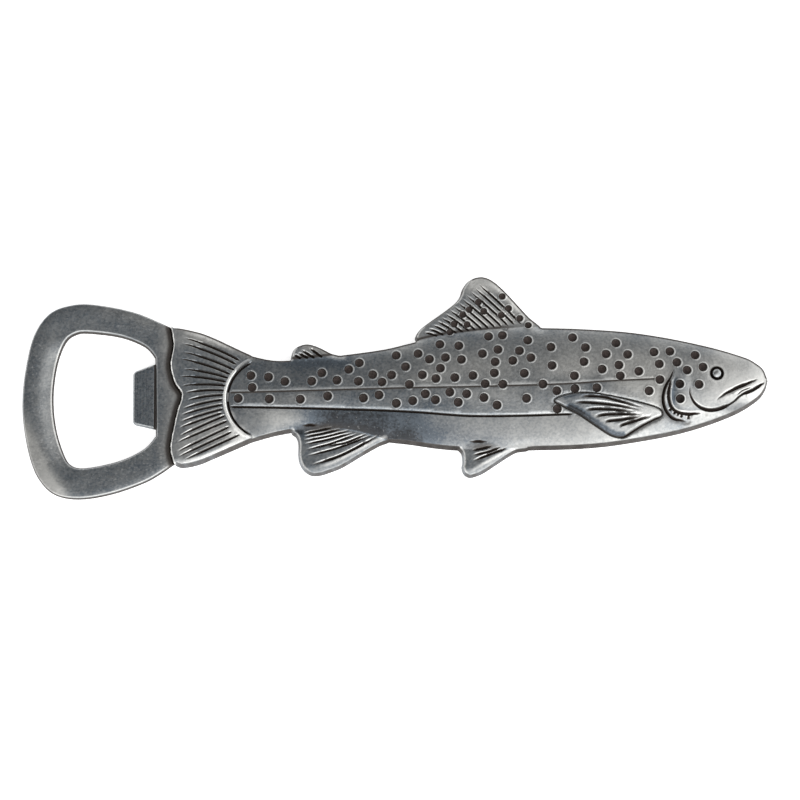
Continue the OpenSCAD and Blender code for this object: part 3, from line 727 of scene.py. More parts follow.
def outer_wall(r, outline):
    """The casting's drafted wall, darkened with painted shade, and its crisp top edge. Beside the ring
    the tail ends in a worn chamfer instead, whose edge gets a painted highlight."""
    edge = looped(outline)
    rows, across, place = near(r.p, edge, WALL_REACH)
    gap = np.full(len(r.p), WALL_REACH)
    gap[rows] = np.abs(across)
    at_trail = (np.abs(line_gap(r.p, TRAIL_CURVE, WALL_REACH) - gap) < 0.1) & (gap < WALL_REACH)
    top_edge = (r.z - WALL_FOOT) / WALL_SLOPE
    free = soft_min(r.z, WALL_FOOT + gap * WALL_SLOPE, EDGE_ROUND * 2)
    r.z = np.where(at_trail, r.z - CHAMFER * fall(gap, 0.0, 0.3), free)
    # Left-facing edges get a painted highlight, and those that face the fish's back painted shade
    facing = -normals(edge)[np.clip((place * (len(edge) - 1)).round().astype(int), 0, len(edge) - 1)]
    leftward, backward = np.zeros((2, len(r.p)))
    leftward[rows] = step(-facing[:, 0], 0.35, 0.85)
    backward[rows] = step(facing[:, 1] + 0.6 * facing[:, 0], 0.2, 0.6)
    # The wall is darkened: painted shade, partly its own darker cast skin, weaker on left-facing walls
    on_wall = np.where(at_trail, 0, fall(gap, top_edge - 0.1, top_edge + 0.14))
    r.tarnish_and_shade = np.maximum(r.tarnish_and_shade * (1 - 0.6 * on_wall), on_wall * 0.98)
    r.polish *= 1 - on_wall
    middle = step(r.x, -6, 0) * fall(r.x, 38, 60)
    below = step(-r.y, 15, 17)
    wall_shade = 0.66 + 0.2 * middle * (1 - below) - 0.18 * below - 0.25 * leftward
    r.darken((wall_shade + 0.07 * ripple(r.x, r.y, 2.5, 51)) * on_wall)
    r.darken(0.7 * backward * fall(gap, top_edge + 0.1, top_edge + 0.6))
    r.shine(np.where(at_trail, fall(gap, 0.2, 0.36), 0.9 * leftward * bell(gap, top_edge + 0.16, 0.14)))


def eye_floor():
    """Height of the floor of the eye's socket."""
    return float(flank(*np.array(EYE_PLACE)[:, None])[0]) - EYE_SINK


def sockets(r):
    """The spots' pits and the eye's socket."""
    for centre, radius, top in SPOTS:
        r.pit(centre, radius, top - ENAMEL_T)
    gap = r.away(*EYE_PLACE)
    floor = eye_floor()
    opened = floor + (r.z - floor) * step(gap, SOCKET_R - 0.12, SOCKET_R + 0.08)
    r.z = np.where(gap < SOCKET_R + 0.15, opened, r.z)
    r.darken(fall(gap, SOCKET_R, SOCKET_R + 0.15))
    # A painted highlight in a ring round the socket
    r.shine(0.6 * bell(gap, SOCKET_R + 0.42, 0.15))


def fish_relief(points, outline):
    """The fish's upper surface, within its closed outline."""
    r = Relief(points)
    for work in (tone, body_and_fins, tail_details, fin_details, flank_lines, gill_cover, jaws,
                 pectoral_fin):
        work(r)
    r.z += 0.02 * ripple(r.x, r.y, 4.5, 3) + 0.008 * ripple(r.x, r.y, 1.6, 4)
    outer_wall(r, outline)
    sockets(r)
    r.tarnish_and_shade = np.clip(r.tarnish_and_shade, 0, 1.6)
    return r


# ---------------------------------------------------------------- meshes from reliefs

def keep_apart(old, new, gap):
    """The new points that are at least gap from the old ones and from each other."""
    if not len(new):
        return new
    cells = np.round(new / gap).astype(int)
    _, first = np.unique(cells, axis=0, return_index=True)
    new = new[np.sort(first)]
    tree = KDTree(len(old))
    for i, p in enumerate(old):
        tree.insert((*p, 0), i)
    tree.balance()
    far = [tree.find((*p, 0))[2] > gap for p in new]
    return new[np.array(far, bool)]


def fill(loops, batches):
    """Mesh points inside the first loop and outside the others: from each batch, those that keep
    its gap from the points before them."""
    points = edge = np.vstack(loops)
    for batch, gap in batches:
        batch = batch[inside(batch, loops[0])]
        for hole in loops[1:]:
            batch = batch[~inside(batch, hole)]
        points = np.vstack([points, keep_apart(points, batch, gap)])
    return points[len(edge):]


def hex_grid(loop, spacing):
    """Evenly spread points over a loop's extent."""
    low, high = loop.min(0), loop.max(0)
    rows = []
    for i, y in enumerate(np.arange(low[1], high[1], spacing * 0.866)):
        x = np.arange(low[0] + (i % 2) * spacing / 2, high[0], spacing)
        rows.append(np.stack([x, np.full_like(x, y)], 1))
    return np.vstack(rows)


def line_points(line, offsets, spacing):
    """Points along a line, in rows at these distances to its left."""
    line = even(line, spacing)
    side = normals(line)
    return np.vstack([line + side * offset for offset in offsets])


def ring_points(centre, radii, count):
    """Points on circles round a centre."""
    angles = np.arange(count) * 2 * math.pi / count
    way = np.stack([np.cos(angles), np.sin(angles)], 1)
    return np.vstack([np.array(centre) + way * r for r in radii])


def inset(loop, distances):
    """Points at distances inside a counter-clockwise loop, or outside it where they are negative,
    without those that come closer."""
    d = np.roll(loop, -1, axis=0) - np.roll(loop, 1, axis=0)
    d /= np.linalg.norm(d, axis=1, keepdims=True)
    rows = []
    for distance in distances:
        moved = loop + np.stack([-d[:, 1], d[:, 0]], 1) * distance
        gap = edge_gap(moved, loop, abs(distance) + 0.5)
        rows.append(moved[gap > abs(distance) - 0.02])
    return np.vstack(rows)


def loop_area(loop):
    """Area of a loop, negative where it runs clockwise."""
    x, y = loop.T
    return 0.5 * float((x * np.roll(y, -1) - np.roll(x, -1) * y).sum())


def union_outline(loops, spacing):
    """Outline of the union of closed loops, evenly spaced, counter-clockwise."""
    edges, start = [], 0
    for loop in loops:
        n = len(loop)
        edges += [(start + i, start + (i + 1) % n) for i in range(n)]
        start += n
    made = delaunay_2d_cdt([Vector(p) for p in np.vstack(loops)], edges, [], 0, 1e-6, True)
    co = np.array([tuple(v) for v in made[0]])
    tris = np.array(made[2], int)
    centre = co[tris].mean(1)
    covered = np.any([inside(centre, loop) for loop in loops], axis=0)
    # The outline's edges belong to one covered triangle each
    sides = [(tri[i], tri[(i + 1) % 3]) for tri in tris[covered] for i in range(3)]
    uses = Counter(frozenset(side) for side in sides)
    following = {a: b for a, b in sides if uses[frozenset((a, b))] == 1}
    chains = []
    while following:
        at = next(iter(following))
        chain = []
        while at in following:
            chain.append(at)
            at = following.pop(at)
        chains.append(co[chain])
    loop = even(looped(max(chains, key=len)), spacing)[:-1]
    return loop if loop_area(loop) > 0 else loop[::-1]


def triangles(points, loops):
    """Triangles over the points, inside the first loop and outside the others.
    The loops' own points come first among the points."""
    areas, start = [], 0
    for loop in loops:
        area = list(range(start, start + len(loop)))
        areas.append(area if loop_area(loop) > 0 else area[::-1])
        start += len(loop)
    made = delaunay_2d_cdt([Vector(p) for p in points], [], areas, 0, 1e-7, True)
    co = np.array([tuple(v) for v in made[0]])
    if len(co) != len(points):
        raise ValueError(f"the triangulation added points: {len(points)} to {len(co)}")
    tris = np.array([tri for tri, owners in zip(made[2], made[5]) if list(owners) == [0]], int)
    a, b, c = co[tris[:, 0]], co[tris[:, 1]], co[tris[:, 2]]
    area = (b[:, 0] - a[:, 0]) * (c[:, 1] - a[:, 1]) - (b[:, 1] - a[:, 1]) * (c[:, 0] - a[:, 0])
    tris[area < 0] = tris[area < 0][:, ::-1]
    return tris


def add_object(name, data):
    thing = bpy.data.objects.new(name, data)
    bpy.context.scene.collection.objects.link(thing)
    return thing


def make_piece(name, co, faces, values, sharp):
    """A mesh object from millimetre points, smooth shaded apart from edges over an angle.
    values are painted on its points, by name."""
    mesh = bpy.data.meshes.new(name)
    mesh.from_pydata([tuple(c) for c in np.asarray(co, float) * MM], [], [tuple(f) for f in faces])
    for key, array in values.items():
        attribute = mesh.attributes.new(key, "FLOAT", "POINT")
        attribute.data.foreach_set("value", np.asarray(array, np.float32))
    mesh.validate()
    mesh.polygons.foreach_set("use_smooth", [True] * len(mesh.polygons))
    mesh.set_sharp_from_angle(angle=math.radians(sharp))
    mesh.update()
    return add_object(name, mesh)


def two_sided(name, loops, top_points, top, low_points, low, sharp=60):
    """A closed mesh: an upper and a lower relief joined by a wall round each loop. The first loop
    runs counter-clockwise, and a hole's loop clockwise.
    top and low give height, and grime, polish and tarnish with the painted shade and highlights they carry,
    at plane points."""
    edge = np.vstack(loops)
    upper, lower = np.vstack([edge, top_points]), np.vstack([edge, low_points])
    top_z, *top_looks = top(upper)
    low_z, *low_looks = low(lower)
    co = np.vstack([np.column_stack([upper, top_z]), np.column_stack([lower, low_z])])
    offset = len(upper)
    faces = list(triangles(upper, loops)) + [t[::-1] + offset for t in triangles(lower, loops)]
    start = 0
    for loop in loops:
        n = len(loop)
        for i in range(n):
            a, b = start + i, start + (i + 1) % n
            faces.append((a + offset, b + offset, b, a))
        start += n
    values = {key: np.concatenate(pair) for key, *pair in zip(LOOKS, top_looks, low_looks)}
    return make_piece(name, co, faces, values, sharp)


# ---------------------------------------------------------------- pieces

def feature_points():
    """Mesh points along the fish's grooves and ridges: lines, rows beside them, spacing."""
    fine = (-0.6, -0.4, -0.2, 0, 0.2, 0.4, 0.6)
    features = [(tail_grooves(), (-0.5, -0.36, -0.24, -0.12, 0, 0.12, 0.24, 0.34, 0.45, 0.57), 0.24)]
    for line, width, _ in fin_grooves():
        half = width / 2
        features.append(([line], (-half - 0.14, -half, 0, half, half + 0.15, half + 0.3), 0.25))
    features += [
        ([smooth(band) for band, _ in BANDS], fine, 0.3),
        (pectoral_grooves() + root_slots(), fine, 0.25),
        ([smooth(line) for line in (JAW_LINE, JAW_STRETCH, JAW_SLIVER, LIP_LINE, UPPER_JAW, GILL_INNER)],
         (-0.5, -0.33, -0.2, -0.1, 0, 0.1, 0.22, 0.36, 0.55, 0.75), 0.22),
        ([smooth(GILL_EDGE)], (-0.4, -0.28, -0.15, 0, 0.15, 0.28, 0.45, 0.62, 0.8, 1.0, 1.2), 0.22),
        ([smooth(BELLY_GROOVE)], (-0.35, -0.22, -0.12, 0, 0.12, 0.24, 0.4), 0.3),
        ([smooth(LATERAL_LINE)], (-0.5, -0.33, -0.18, 0, 0.18, 0.35), 0.35),
        ([looped(smooth(PECTORAL, closed=True))], (-0.6, -0.42, -0.28, -0.12, 0.04, 0.18, 0.32, 0.46), 0.25),
        ([root_arc(9.8, 10.3)],
         (-1.3, -1.0, -0.75, -0.5, -0.3, -0.1, 0.1, 0.24, 0.38, 0.52, 0.66, 0.85), 0.18)]
    roots = [LOOPS["body"][inside(LOOPS["body"], LOOPS[name])] for name in FINS]
    features.append(([root for root in roots if len(root) > 2], (-0.45, -0.25, -0.1, 0.1, 0.25, 0.45), 0.3))
    return np.vstack([line_points(line, offsets, spacing)
                      for lines, offsets, spacing in features for line in lines])


def pit_points():
    """Mesh points round the pits, their rims and the eye's socket."""
    batches = []
    for centre, radius, _ in SPOTS:
        rim_centre = centre + np.array([RIM_SHIFT, 0])
        batches.append(ring_points(centre, [0.45 * radius, radius - 0.06, radius, radius + 0.08], 22))
        batches.append(ring_points(rim_centre, radius + np.array([0.17, RIM_OUT, 0.31, 0.42, 0.6]), 26))
        batches.append(np.array([centre]))
    socket = SOCKET_R + np.array([-0.14, -0.04, 0.08, 0.2, 0.35, 0.5])
    batches.append(ring_points(EYE_PLACE, [0.5, 1.0, *socket], 32))
    return np.vstack(batches)


def fish_piece():
    """The cast trout: its relief above, and the pocket for the tang in its flat back."""
    outline = union_outline([LOOPS[name] for name in ("body", "tail", *FINS)], 0.3)
    trail = line_points(TRAIL_CURVE[4:-2], (0.05, 0.1, 0.16, 0.23, 0.32, 0.45), 0.25)
    walls = inset(outline, (0.15, 0.3, 0.4, 0.48, 0.56, 0.66, 0.78, 0.92, 1.15, 1.45))
    top_points = fill([outline], ((pit_points(), 0.05), (trail, 0.05), (feature_points(), 0.09),
                                  (walls, 0.09), (hex_grid(outline, 0.62), 0.36)))
    pocket = np.array(TANG, float)
    seam = line_points(looped(pocket), (-0.6, -0.42, -0.3, -0.16, -0.05, 0.0, 0.08, 0.2, 0.4), 0.5)
    low_points = fill([outline], ((seam, 0.05), (inset(outline, [0.3]), 0.12),
                                  (inset(outline, [0.12]), 0.08), (hex_grid(outline, 3.0), 1.2)))

    def top(p):
        return fish_relief(p, outline).values()

    def low(p):
        depth = depth_inside(p, pocket, 3.0) + 0.05
        z = 0.22 * fall(edge_gap(p, outline, 1.0), 0, 0.28) + TANG_T * step(depth, 0.0, 0.06)
        grime = 0.9 * fall(np.abs(depth), 0.12, 0.4)
        return z, grime, np.zeros(len(p)), np.full(len(p), 0.5)

    return two_sided("cast_fish", [outline], top_points, top, low_points, low)


def under_tail(x, y):
    """Which places lie to the right of the tail's trailing edge."""
    return x > np.interp(y, TRAIL_CURVE[::-1, 1], TRAIL_CURVE[::-1, 0])


def ring_relief(points, outer, hole):
    """The opener's upper surface: gently crowned, with a cove beside the tail."""
    r = Relief(points)
    x, y = r.x, r.y
    out_gap, in_gap = edge_gap(points, outer, 7.0), edge_gap(points, hole, 7.0)
    # The left arm leans towards the opening, and its lower corner towards its outer edge
    lean = step(-x, 70, 79) * fall(y, 6, 12) * step(y, -22, -14)
    corner = step(-x - y, 92, 104) * step(-x, 76, 83)
    z = RING_T - (0.1 + 0.55 * lean) * fall(in_gap, 0.0, 5.0) ** 1.5
    z -= (0.18 + 0.5 * corner) * fall(out_gap, 0.0, 2.0 + 2.5 * corner) ** 1.5
    z += 0.02 * ripple(x, y, 5.0, 11) + 0.006 * ripple(x, y, 1.7, 12)
    # Tarnish all over, made lighter where the left arm and the corner lean: painted light
    r.tarnish_and_shade += 0.78 - 0.3 * lean * fall(in_gap, 1.5, 5.5) - 1.25 * corner * fall(out_gap, 1, 5.5)
    r.tarnish_and_shade += 0.05 * ripple(x, y, 6.0, 41) + 0.02 * ripple(x, y, 2.0, 42)
    # Cove beside the tail, with a dark groove at its foot, patina with painted shadow, and a brown band
    # whose lightness is a painted reflection
    left = line_gap(points, TRAIL_CURVE, 4.5)
    hidden = under_tail(x, y)
    beside = ~hidden
    z += 0.04 * bell(left, 2.1, 0.8) * beside
    z -= 0.45 * fall(left, 0.2, 1.6) * beside
    z = np.where(hidden, TANG_T + (z - TANG_T) * fall(left, 0.05, 0.3), z)
    brown_band = 0.3 * fall(left, 1.4, 4.2) * beside
    r.darken(np.where(hidden, 1.0, fall(left, 0.3, 0.85)))
    r.darken(0.6 * fall(left, 0.8, 2.6) * beside)
    r.darken(brown_band)
    r.tarnish_and_shade -= brown_band
    # A bright line where the tail forks
    r.ridge(smooth(FORK_LINE), 0.2, 0.0, taper=0.3)
    # Outer and inner walls, with painted highlights along the left arm's opening and the lower edge, and
    # painted shade on the walls themselves
    z = soft_min(z, 1.45 + out_gap * 5.5, 0.5)
    r.z = soft_min(z, 1.5 + in_gap * 3.6, 0.35)
    upper_left = step(-x, 60, 72) * step(y, -18, -14) * (1 - 0.75 * step(y, 7, 12))
    r.shine((0.15 + 0.85 * upper_left) * bell(in_gap, 0.52, 0.15))
    r.shine((0.1 + 0.4 * step(-y, 8, 14)) * bell(out_gap, 0.42, 0.14))
    inner_wall, outer_wall_share = fall(in_gap, 0.28, 0.42), fall(out_gap, 0.15, 0.3)
    r.tarnish_and_shade = np.maximum(r.tarnish_and_shade, np.maximum(0.85 * inner_wall, 0.8 * outer_wall_share))
    r.darken(0.7 * inner_wall)
    r.darken(0.75 * outer_wall_share)
    r.tarnish_and_shade -= 0.3 * bell(x, -63, 8) * bell(out_gap, 1.2, 1.2) * (y > 0)
    r.tarnish_and_shade = np.clip(r.tarnish_and_shade, 0, 1)
    return r


def plate_outline():
    """Plan of the lifter plate: a lip with two round corners and a narrowing root."""
    def corner(y, first, last):
        angles = np.radians(np.linspace(first, last, 8))
        x = LIP_TIP_X + LIP_CORNER_R
        return [(x + LIP_CORNER_R * math.cos(a), y + LIP_CORNER_R * math.sin(a)) for a in angles]

    low = corner(LIP_TIP_Y[0] + LIP_CORNER_R, 180, 258)
    high = corner(LIP_TIP_Y[1] - LIP_CORNER_R, 105, 180)
    return np.array(high + low[1:] + [(LIP_ROOT_X, LIP_ROOT_Y[0]), (PLATE_END_X, PLATE_END_Y[0]),
                                      (PLATE_END_X, PLATE_END_Y[1]), (LIP_ROOT_X, LIP_ROOT_Y[1])])


def sink_points():
    """Mesh points round the rivets' countersinks."""
    radii = [0.6, 1.2, *RIVET_HEAD_R + np.array([-0.1, 0, 0.06, 0.14, 0.26, 0.4])]
    return np.vstack([ring_points(centre, radii, 36) for centre in RIVET_PLACES])


def rivet_sink(points):
    """Depth of the countersinks for the rivets' heads, and the grime round their rims."""
    gap = np.min([np.hypot(points[:, 0] - cx, points[:, 1] - cy) for cx, cy in RIVET_PLACES], axis=0)
    depth = 0.45 * fall(gap, RIVET_HEAD_R - 0.02, RIVET_HEAD_R + 0.06)
    return depth, fall(gap, RIVET_HEAD_R + 0.08, RIVET_HEAD_R + 0.25)


def opener_piece():
    """The ring with its tang: crowned above, and flat below with a seat for the lifter plate."""
    ring = np.vstack([smooth(RING_OUTER)[:-1], TRAIL_CURVE[:-1]])
    outer = union_outline([ring, np.array(TANG, float)], 0.4)
    hole = even(looped(smooth(RING_INNER)), 0.4)[:-1]
    rim = hole[::-1]
    plate = plate_outline()
    steps = (-1.4, -1.15, -0.95, -0.8, -0.65, -0.5, -0.35, -0.2, 0, 0.1, 0.2, 0.3)
    trail = line_points(TRAIL_CURVE, steps, 0.4)
    top_points = fill([outer, rim], (
        (inset(rim, (-0.12, -0.25, -0.38, -0.5, -0.62, -0.8, -1.1)), 0.08),
        (inset(outer, (0.12, 0.22, 0.32, 0.42, 0.55, 0.75, 1.1)), 0.08),
        (trail, 0.1), (hex_grid(outer, 0.75), 0.42)))
    seam = line_points(even(looped(plate), 0.5), (-0.55, -0.4, -0.26, -0.12, 0, 0.1, 0.25), 0.5)
    low_points = fill([outer, rim], (
        (seam, 0.06), (sink_points(), 0.06), (inset(outer, (0.15, 0.3, 0.5)), 0.1),
        (inset(rim, (-0.15, -0.3, -0.5)), 0.1), (hex_grid(outer, 1.8), 0.8)))

    def top(p):
        return ring_relief(p, outer, rim).values()

    def low(p):
        depth = depth_inside(p, plate, 3.0) + 0.05
        on_tang = under_tail(p[:, 0], p[:, 1])
        out_gap = np.maximum(depth_inside(p, outer, 1.0), 0)
        in_gap = np.maximum(-depth_inside(p, rim, 1.0), 0)
        gap = np.minimum(out_gap, in_gap)
        round_off = np.where(on_tang, 0.12 * fall(gap, 0, 0.2), 1.2 * fall(gap, 0, 0.5) ** 2)
        sink, sink_rim = rivet_sink(p)
        z = np.maximum(np.maximum(round_off, LIP_T * step(depth, 0, 0.06)), sink)
        side = fall(gap, 0.1, 0.45)
        grime = 0.9 * fall(np.abs(depth), 0.12, 0.35) + sink_rim + 0.9 * fall(gap, 0.1, 0.35) * on_tang
        return z, np.clip(grime + 0.6 * side, 0, 1), np.zeros(len(p)), 0.55 + 0.3 * side

    return two_sided("opener_ring", [outer, hole], top_points, top, low_points, low)


def lip_piece():
    """The lifter plate, with its edges rounded and countersinks for the rivets."""
    outline = even(looped(plate_outline()), 0.3)[:-1]
    seam_x = LIP_ROOT_X - 0.3
    seam = line_points([(seam_x, y) for y in LIP_ROOT_Y], (-0.5, -0.3, -0.15, 0, 0.15, 0.3, 0.45), 0.4)
    points = fill([outline], ((inset(outline, (0.1, 0.2, 0.35, 0.55)), 0.08), (sink_points(), 0.08),
                              (seam, 0.1), (hex_grid(outline, 0.6), 0.4)))

    def top(p):
        x, y = p.T
        gap = np.maximum(depth_inside(p, outline, 2.0), 0)
        z = soft_min(np.full(len(p), LIP_T), 1.1 + gap * 2.6, 0.35)
        z += 0.008 * ripple(x * 3, y * 0.3, 2.0, 21)
        z -= 0.12 * bell(x, seam_x, 0.2)
        edge = bell(gap, 0.28, 0.12) * (x < LIP_ROOT_X - 0.5)
        # A dark line at the plate's root: patina in the seam with painted shadow
        return z, 0.95 * bell(x, seam_x, 0.24), 0.45 * edge, 0.95 - 0.1 * step(gap, 0.3, 0.8)

    def low(p):
        gap = np.maximum(depth_inside(p, outline, 2.0), 0)
        sink, sink_rim = rivet_sink(p)
        z = np.maximum(0.5 * fall(gap, 0, 0.4) ** 2, sink)
        return z, sink_rim, np.zeros(len(p)), np.full(len(p), 0.6)

    return two_sided("lifter_plate", [outline], points, top, points, low, sharp=50)


def turned(centre, profile, count=40):
    """Points and faces of a turned solid, from (radius, height) pairs that start and end on its axis."""
    angles = np.arange(count) * 2 * math.pi / count
    inner = profile[1:-1]
    co = [(*centre, profile[0][1])]
    for radius, z in inner:
        co += [(centre[0] + radius * math.cos(a), centre[1] + radius * math.sin(a), z) for a in angles]
    co.append((*centre, profile[-1][1]))
    faces = []
    for i in range(count):
        j = (i + 1) % count
        faces.append((0, 1 + j, 1 + i))
        for start in range(1, 1 + (len(inner) - 1) * count, count):
            faces.append((start + i, start + j, start + count + j, start + count + i))
        top = 1 + (len(inner) - 1) * count
        faces.append((len(co) - 1, top + i, top + j))
    return co, faces


def join_turned(name, parts):
    """One piece from several turned solids."""
    co, faces = [], []
    for part_co, part_faces in parts:
        faces += [tuple(i + len(co) for i in face) for face in part_faces]
        co += part_co
    return make_piece(name, co, faces, {}, 45)


def rivets_piece():
    """Three countersunk rivets, their heads slightly domed and flush with the back."""
    profile = [(0, 0.0), (0.8, 0.0), (1.5, 0.03), (1.9, 0.09), (2.04, 0.2), (2.0, 0.3),
               (1.3, 0.9), (1.22, 1.2), (1.22, 3.7), (1.05, 3.95), (0, 3.98)]
    return join_turned("rivet_heads", [turned(centre, profile) for centre in RIVET_PLACES])


def enamel_piece():
    """Dark enamel in the pits: a thin pool with a hollow surface in each."""
    parts = []
    for centre, radius, top in SPOTS:
        base, edge = top - ENAMEL_T, radius - 0.01
        profile = [(0, base), (edge, base), (edge, top + 0.04), (edge * 0.92, top),
                   (edge * 0.7, top - 0.04), (edge * 0.35, top - 0.06), (0, top - 0.065)]
        parts.append(turned(centre, profile, count=24))
    return join_turned("pit_enamel", parts)


def eye_piece():
    """The eye: a polished dome in its socket."""
    base = eye_floor()
    crest = base + EYE_SINK + 0.28
    waist = base + 0.35
    steps = 12
    profile = [(0, base + 0.02), (EYE_R, base + 0.02), (EYE_R, waist)]
    for i in range(1, steps):
        a = math.pi / 2 * i / steps
        profile.append((EYE_R * math.cos(a), waist + (crest - waist) * math.sin(a)))
    profile.append((0, crest))
    co, faces = turned(EYE_PLACE, profile)
    radius = np.hypot(*(np.array(co)[:, :2] - EYE_PLACE).T)
    # Grime at the dome's foot, and a painted highlight on its crest
    looks = (step(radius, 0.92, 1.12), 0.2 * fall(radius, 0.2, 0.7), np.full(len(co), 0.55))
    return make_piece("eye_dome", co, faces, dict(zip(LOOKS, looks)), 60)


# ---------------------------------------------------------------- materials

class Nodes:
    """Short ways to add and join shader nodes."""

    def __init__(self, tree):
        self.tree = tree

    def add(self, kind, **settings):
        node = self.tree.nodes.new(kind)
        for key, value in settings.items():
            setattr(node, key, value)
        return node

    def put(self, value, socket):
        """Gives an input a constant, or links it to another node's output."""
        if hasattr(value, "is_output"):
            self.tree.links.new(value, socket)
        else:
            socket.default_value = value

    def painted(self, name):
        """One of the values painted on the mesh."""
        return self.add("ShaderNodeAttribute", attribute_name=name).outputs["Fac"]

    def math(self, operation, a, b, clamp=False):
        node = self.add("ShaderNodeMath", operation=operation, use_clamp=clamp)
        self.put(a, node.inputs[0])
        self.put(b, node.inputs[1])
        return node.outputs[0]

    def mix(self, share, a, b):
        """Mix of two colours; each may be an output or a plain colour."""
        node = self.add("ShaderNodeMix", data_type="RGBA")
        self.put(share, node.inputs[0])
        for socket, colour in ((node.inputs[6], a), (node.inputs[7], b)):
            self.put((*colour, 1) if isinstance(colour, tuple) else colour, socket)
        return node.outputs[2]

    def range(self, value, low, high, to_low=0.0, to_high=1.0):
        """A value's range turned smoothly into another range."""
        node = self.add("ShaderNodeMapRange", interpolation_type="SMOOTHSTEP")
        for socket, v in zip(node.inputs, (value, low, high, to_low, to_high)):
            self.put(v, socket)
        return node.outputs[0]

    def noise(self, scale, detail=3.0, stretch=(1, 1, 1)):
        coords = self.add("ShaderNodeTexCoord")
        mapping = self.add("ShaderNodeMapping")
        node = self.add("ShaderNodeTexNoise")
        self.put(coords.outputs["Object"], mapping.inputs[0])
        self.put(stretch, mapping.inputs["Scale"])
        self.put(scale, node.inputs["Scale"])
        self.put(detail, node.inputs["Detail"])
        self.put(mapping.outputs[0], node.inputs["Vector"])
        return node.outputs["Fac"]

    def bump(self, shader, height, strength, distance):
        node = self.add("ShaderNodeBump")
        self.put(strength, node.inputs["Strength"])
        self.put(distance, node.inputs["Distance"])
        self.put(height, node.inputs["Height"])
        self.put(node.outputs[0], shader.inputs["Normal"])


def new_material(name):
    """A material, its nodes and its shader."""
    material = bpy.data.materials.new(name)
    material.use_nodes = True
    return material, Nodes(material.node_tree), material.node_tree.nodes["Principled BSDF"]


def pewter(name, rough=0.32, brushed=None, scuffs=0.0, even_tarnish=None):
    """Antique pewter: wiped metal with tarnish, grime in its recesses and polish on its edges, all three
    also carrying painted shade and painted highlights.
    brushed stretches fine marks, and even_tarnish is for pieces without painted values."""
    material, n, shader = new_material(name)
    painted = even_tarnish is None
    cloud = n.range(n.noise(110, 4), 0.3, 0.7, -0.04, 0.04)
    speck = n.range(n.noise(1700, 2), 0.38, 0.68, -0.085, 0.1)
    share = n.math("ADD", n.math("ADD", cloud, speck), n.painted("tarnish_and_shade") if painted else even_tarnish)
    height = n.math("ADD", n.noise(2200, 3), n.math("MULTIPLY", n.noise(500, 3), 1.2))
    if brushed:
        marks = n.noise(900, 3, brushed)
        share = n.math("ADD", share, n.range(marks, 0.35, 0.65, -0.05, 0.05))
        height = n.math("ADD", height, n.math("MULTIPLY", marks, 1.5))
    colour = n.mix(n.math("ADD", share, 0.0, clamp=True), WIPED, TARNISH_AND_SHADE_COLOUR)
    colour = n.mix(n.range(share, 1.0, 1.6), colour, DEEP)
    fleck = n.range(n.noise(2300, 2), 0.64, 0.74, 0.0, 0.18)
    if scuffs:
        scratch = n.range(n.noise(1300, 4, (1, 1.6, 1)), 0.54, 0.72, 0.0, scuffs)
        patches = n.range(n.noise(70, 2), 0.4, 0.62)
        fleck = n.math("ADD", fleck, n.math("MULTIPLY", scratch, patches), clamp=True)
    colour = n.mix(fleck, colour, WORN_AND_LIT)
    roughness = n.range(n.noise(1500, 2), 0.3, 0.7, rough - 0.03, rough + 0.07)
    metallic = 1.0
    if painted:
        bright_breakup = n.range(n.noise(800, 2), 0.2, 0.5, 0.6, 1.0)
        wear_and_highlight = n.math("MULTIPLY", n.painted("polish"), bright_breakup, clamp=True)
        dark_breakup = n.range(n.noise(900, 3), 0.15, 0.5, 0.8, 1.0)
        dirt_and_shade = n.math("MULTIPLY", n.painted("grime"), dark_breakup, clamp=True)
        # Polish and painted highlights lighten the colour; grime and painted shade darken it towards brown
        # and near-black
        colour = n.mix(wear_and_highlight, colour, WORN_AND_LIT)
        colour = n.mix(n.range(dirt_and_shade, 0.0, 0.65), colour, BROWN)
        colour = n.mix(n.range(dirt_and_shade, 0.6, 1.0), colour, DIRT_AND_SHADE_COLOUR)
        roughness = n.math("ADD", roughness, n.math("MULTIPLY", dirt_and_shade, 0.2))
        roughness = n.math("SUBTRACT", roughness, n.math("MULTIPLY", wear_and_highlight, 0.06), clamp=True)
        bare = n.range(dirt_and_shade, 0.1, 0.6, 1.0, 0.04)
        unpolished = n.math("SUBTRACT", 1.0, n.math("MULTIPLY", wear_and_highlight, 0.45))
        metallic = n.math("MULTIPLY", bare, unpolished, clamp=True)
    n.put(colour, shader.inputs["Base Color"])
    n.put(metallic, shader.inputs["Metallic"])
    n.put(roughness, shader.inputs["Roughness"])
    n.put(0.05, shader.inputs["Specular IOR Level"])
    n.bump(shader, height, 0.25, 0.00012)
    return material


def fired_enamel():
    """Brown-black enamel, a little glossy, with dust in it."""
    material, n, shader = new_material("fired_enamel")
    n.put(n.mix(n.range(n.noise(1800), 0.35, 0.68), ENAMEL_DARK, ENAMEL_DUSTY), shader.inputs["Base Color"])
    n.put(n.range(n.noise(1200), 0.3, 0.7, 0.5, 0.7), shader.inputs["Roughness"])
    n.put(0.3, shader.inputs["Specular IOR Level"])
    n.bump(shader, n.noise(1500), 0.2, 0.0001)
    return material


def finish_piece(piece, material, node):
    piece.data.materials.append(material)
    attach(piece, "root")
    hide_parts(node)


# ---------------------------------------------------------------- stage

def aim(thing, direction):
    thing.rotation_mode = "QUATERNION"
    thing.rotation_quaternion = direction.to_track_quat("-Z", "Y")


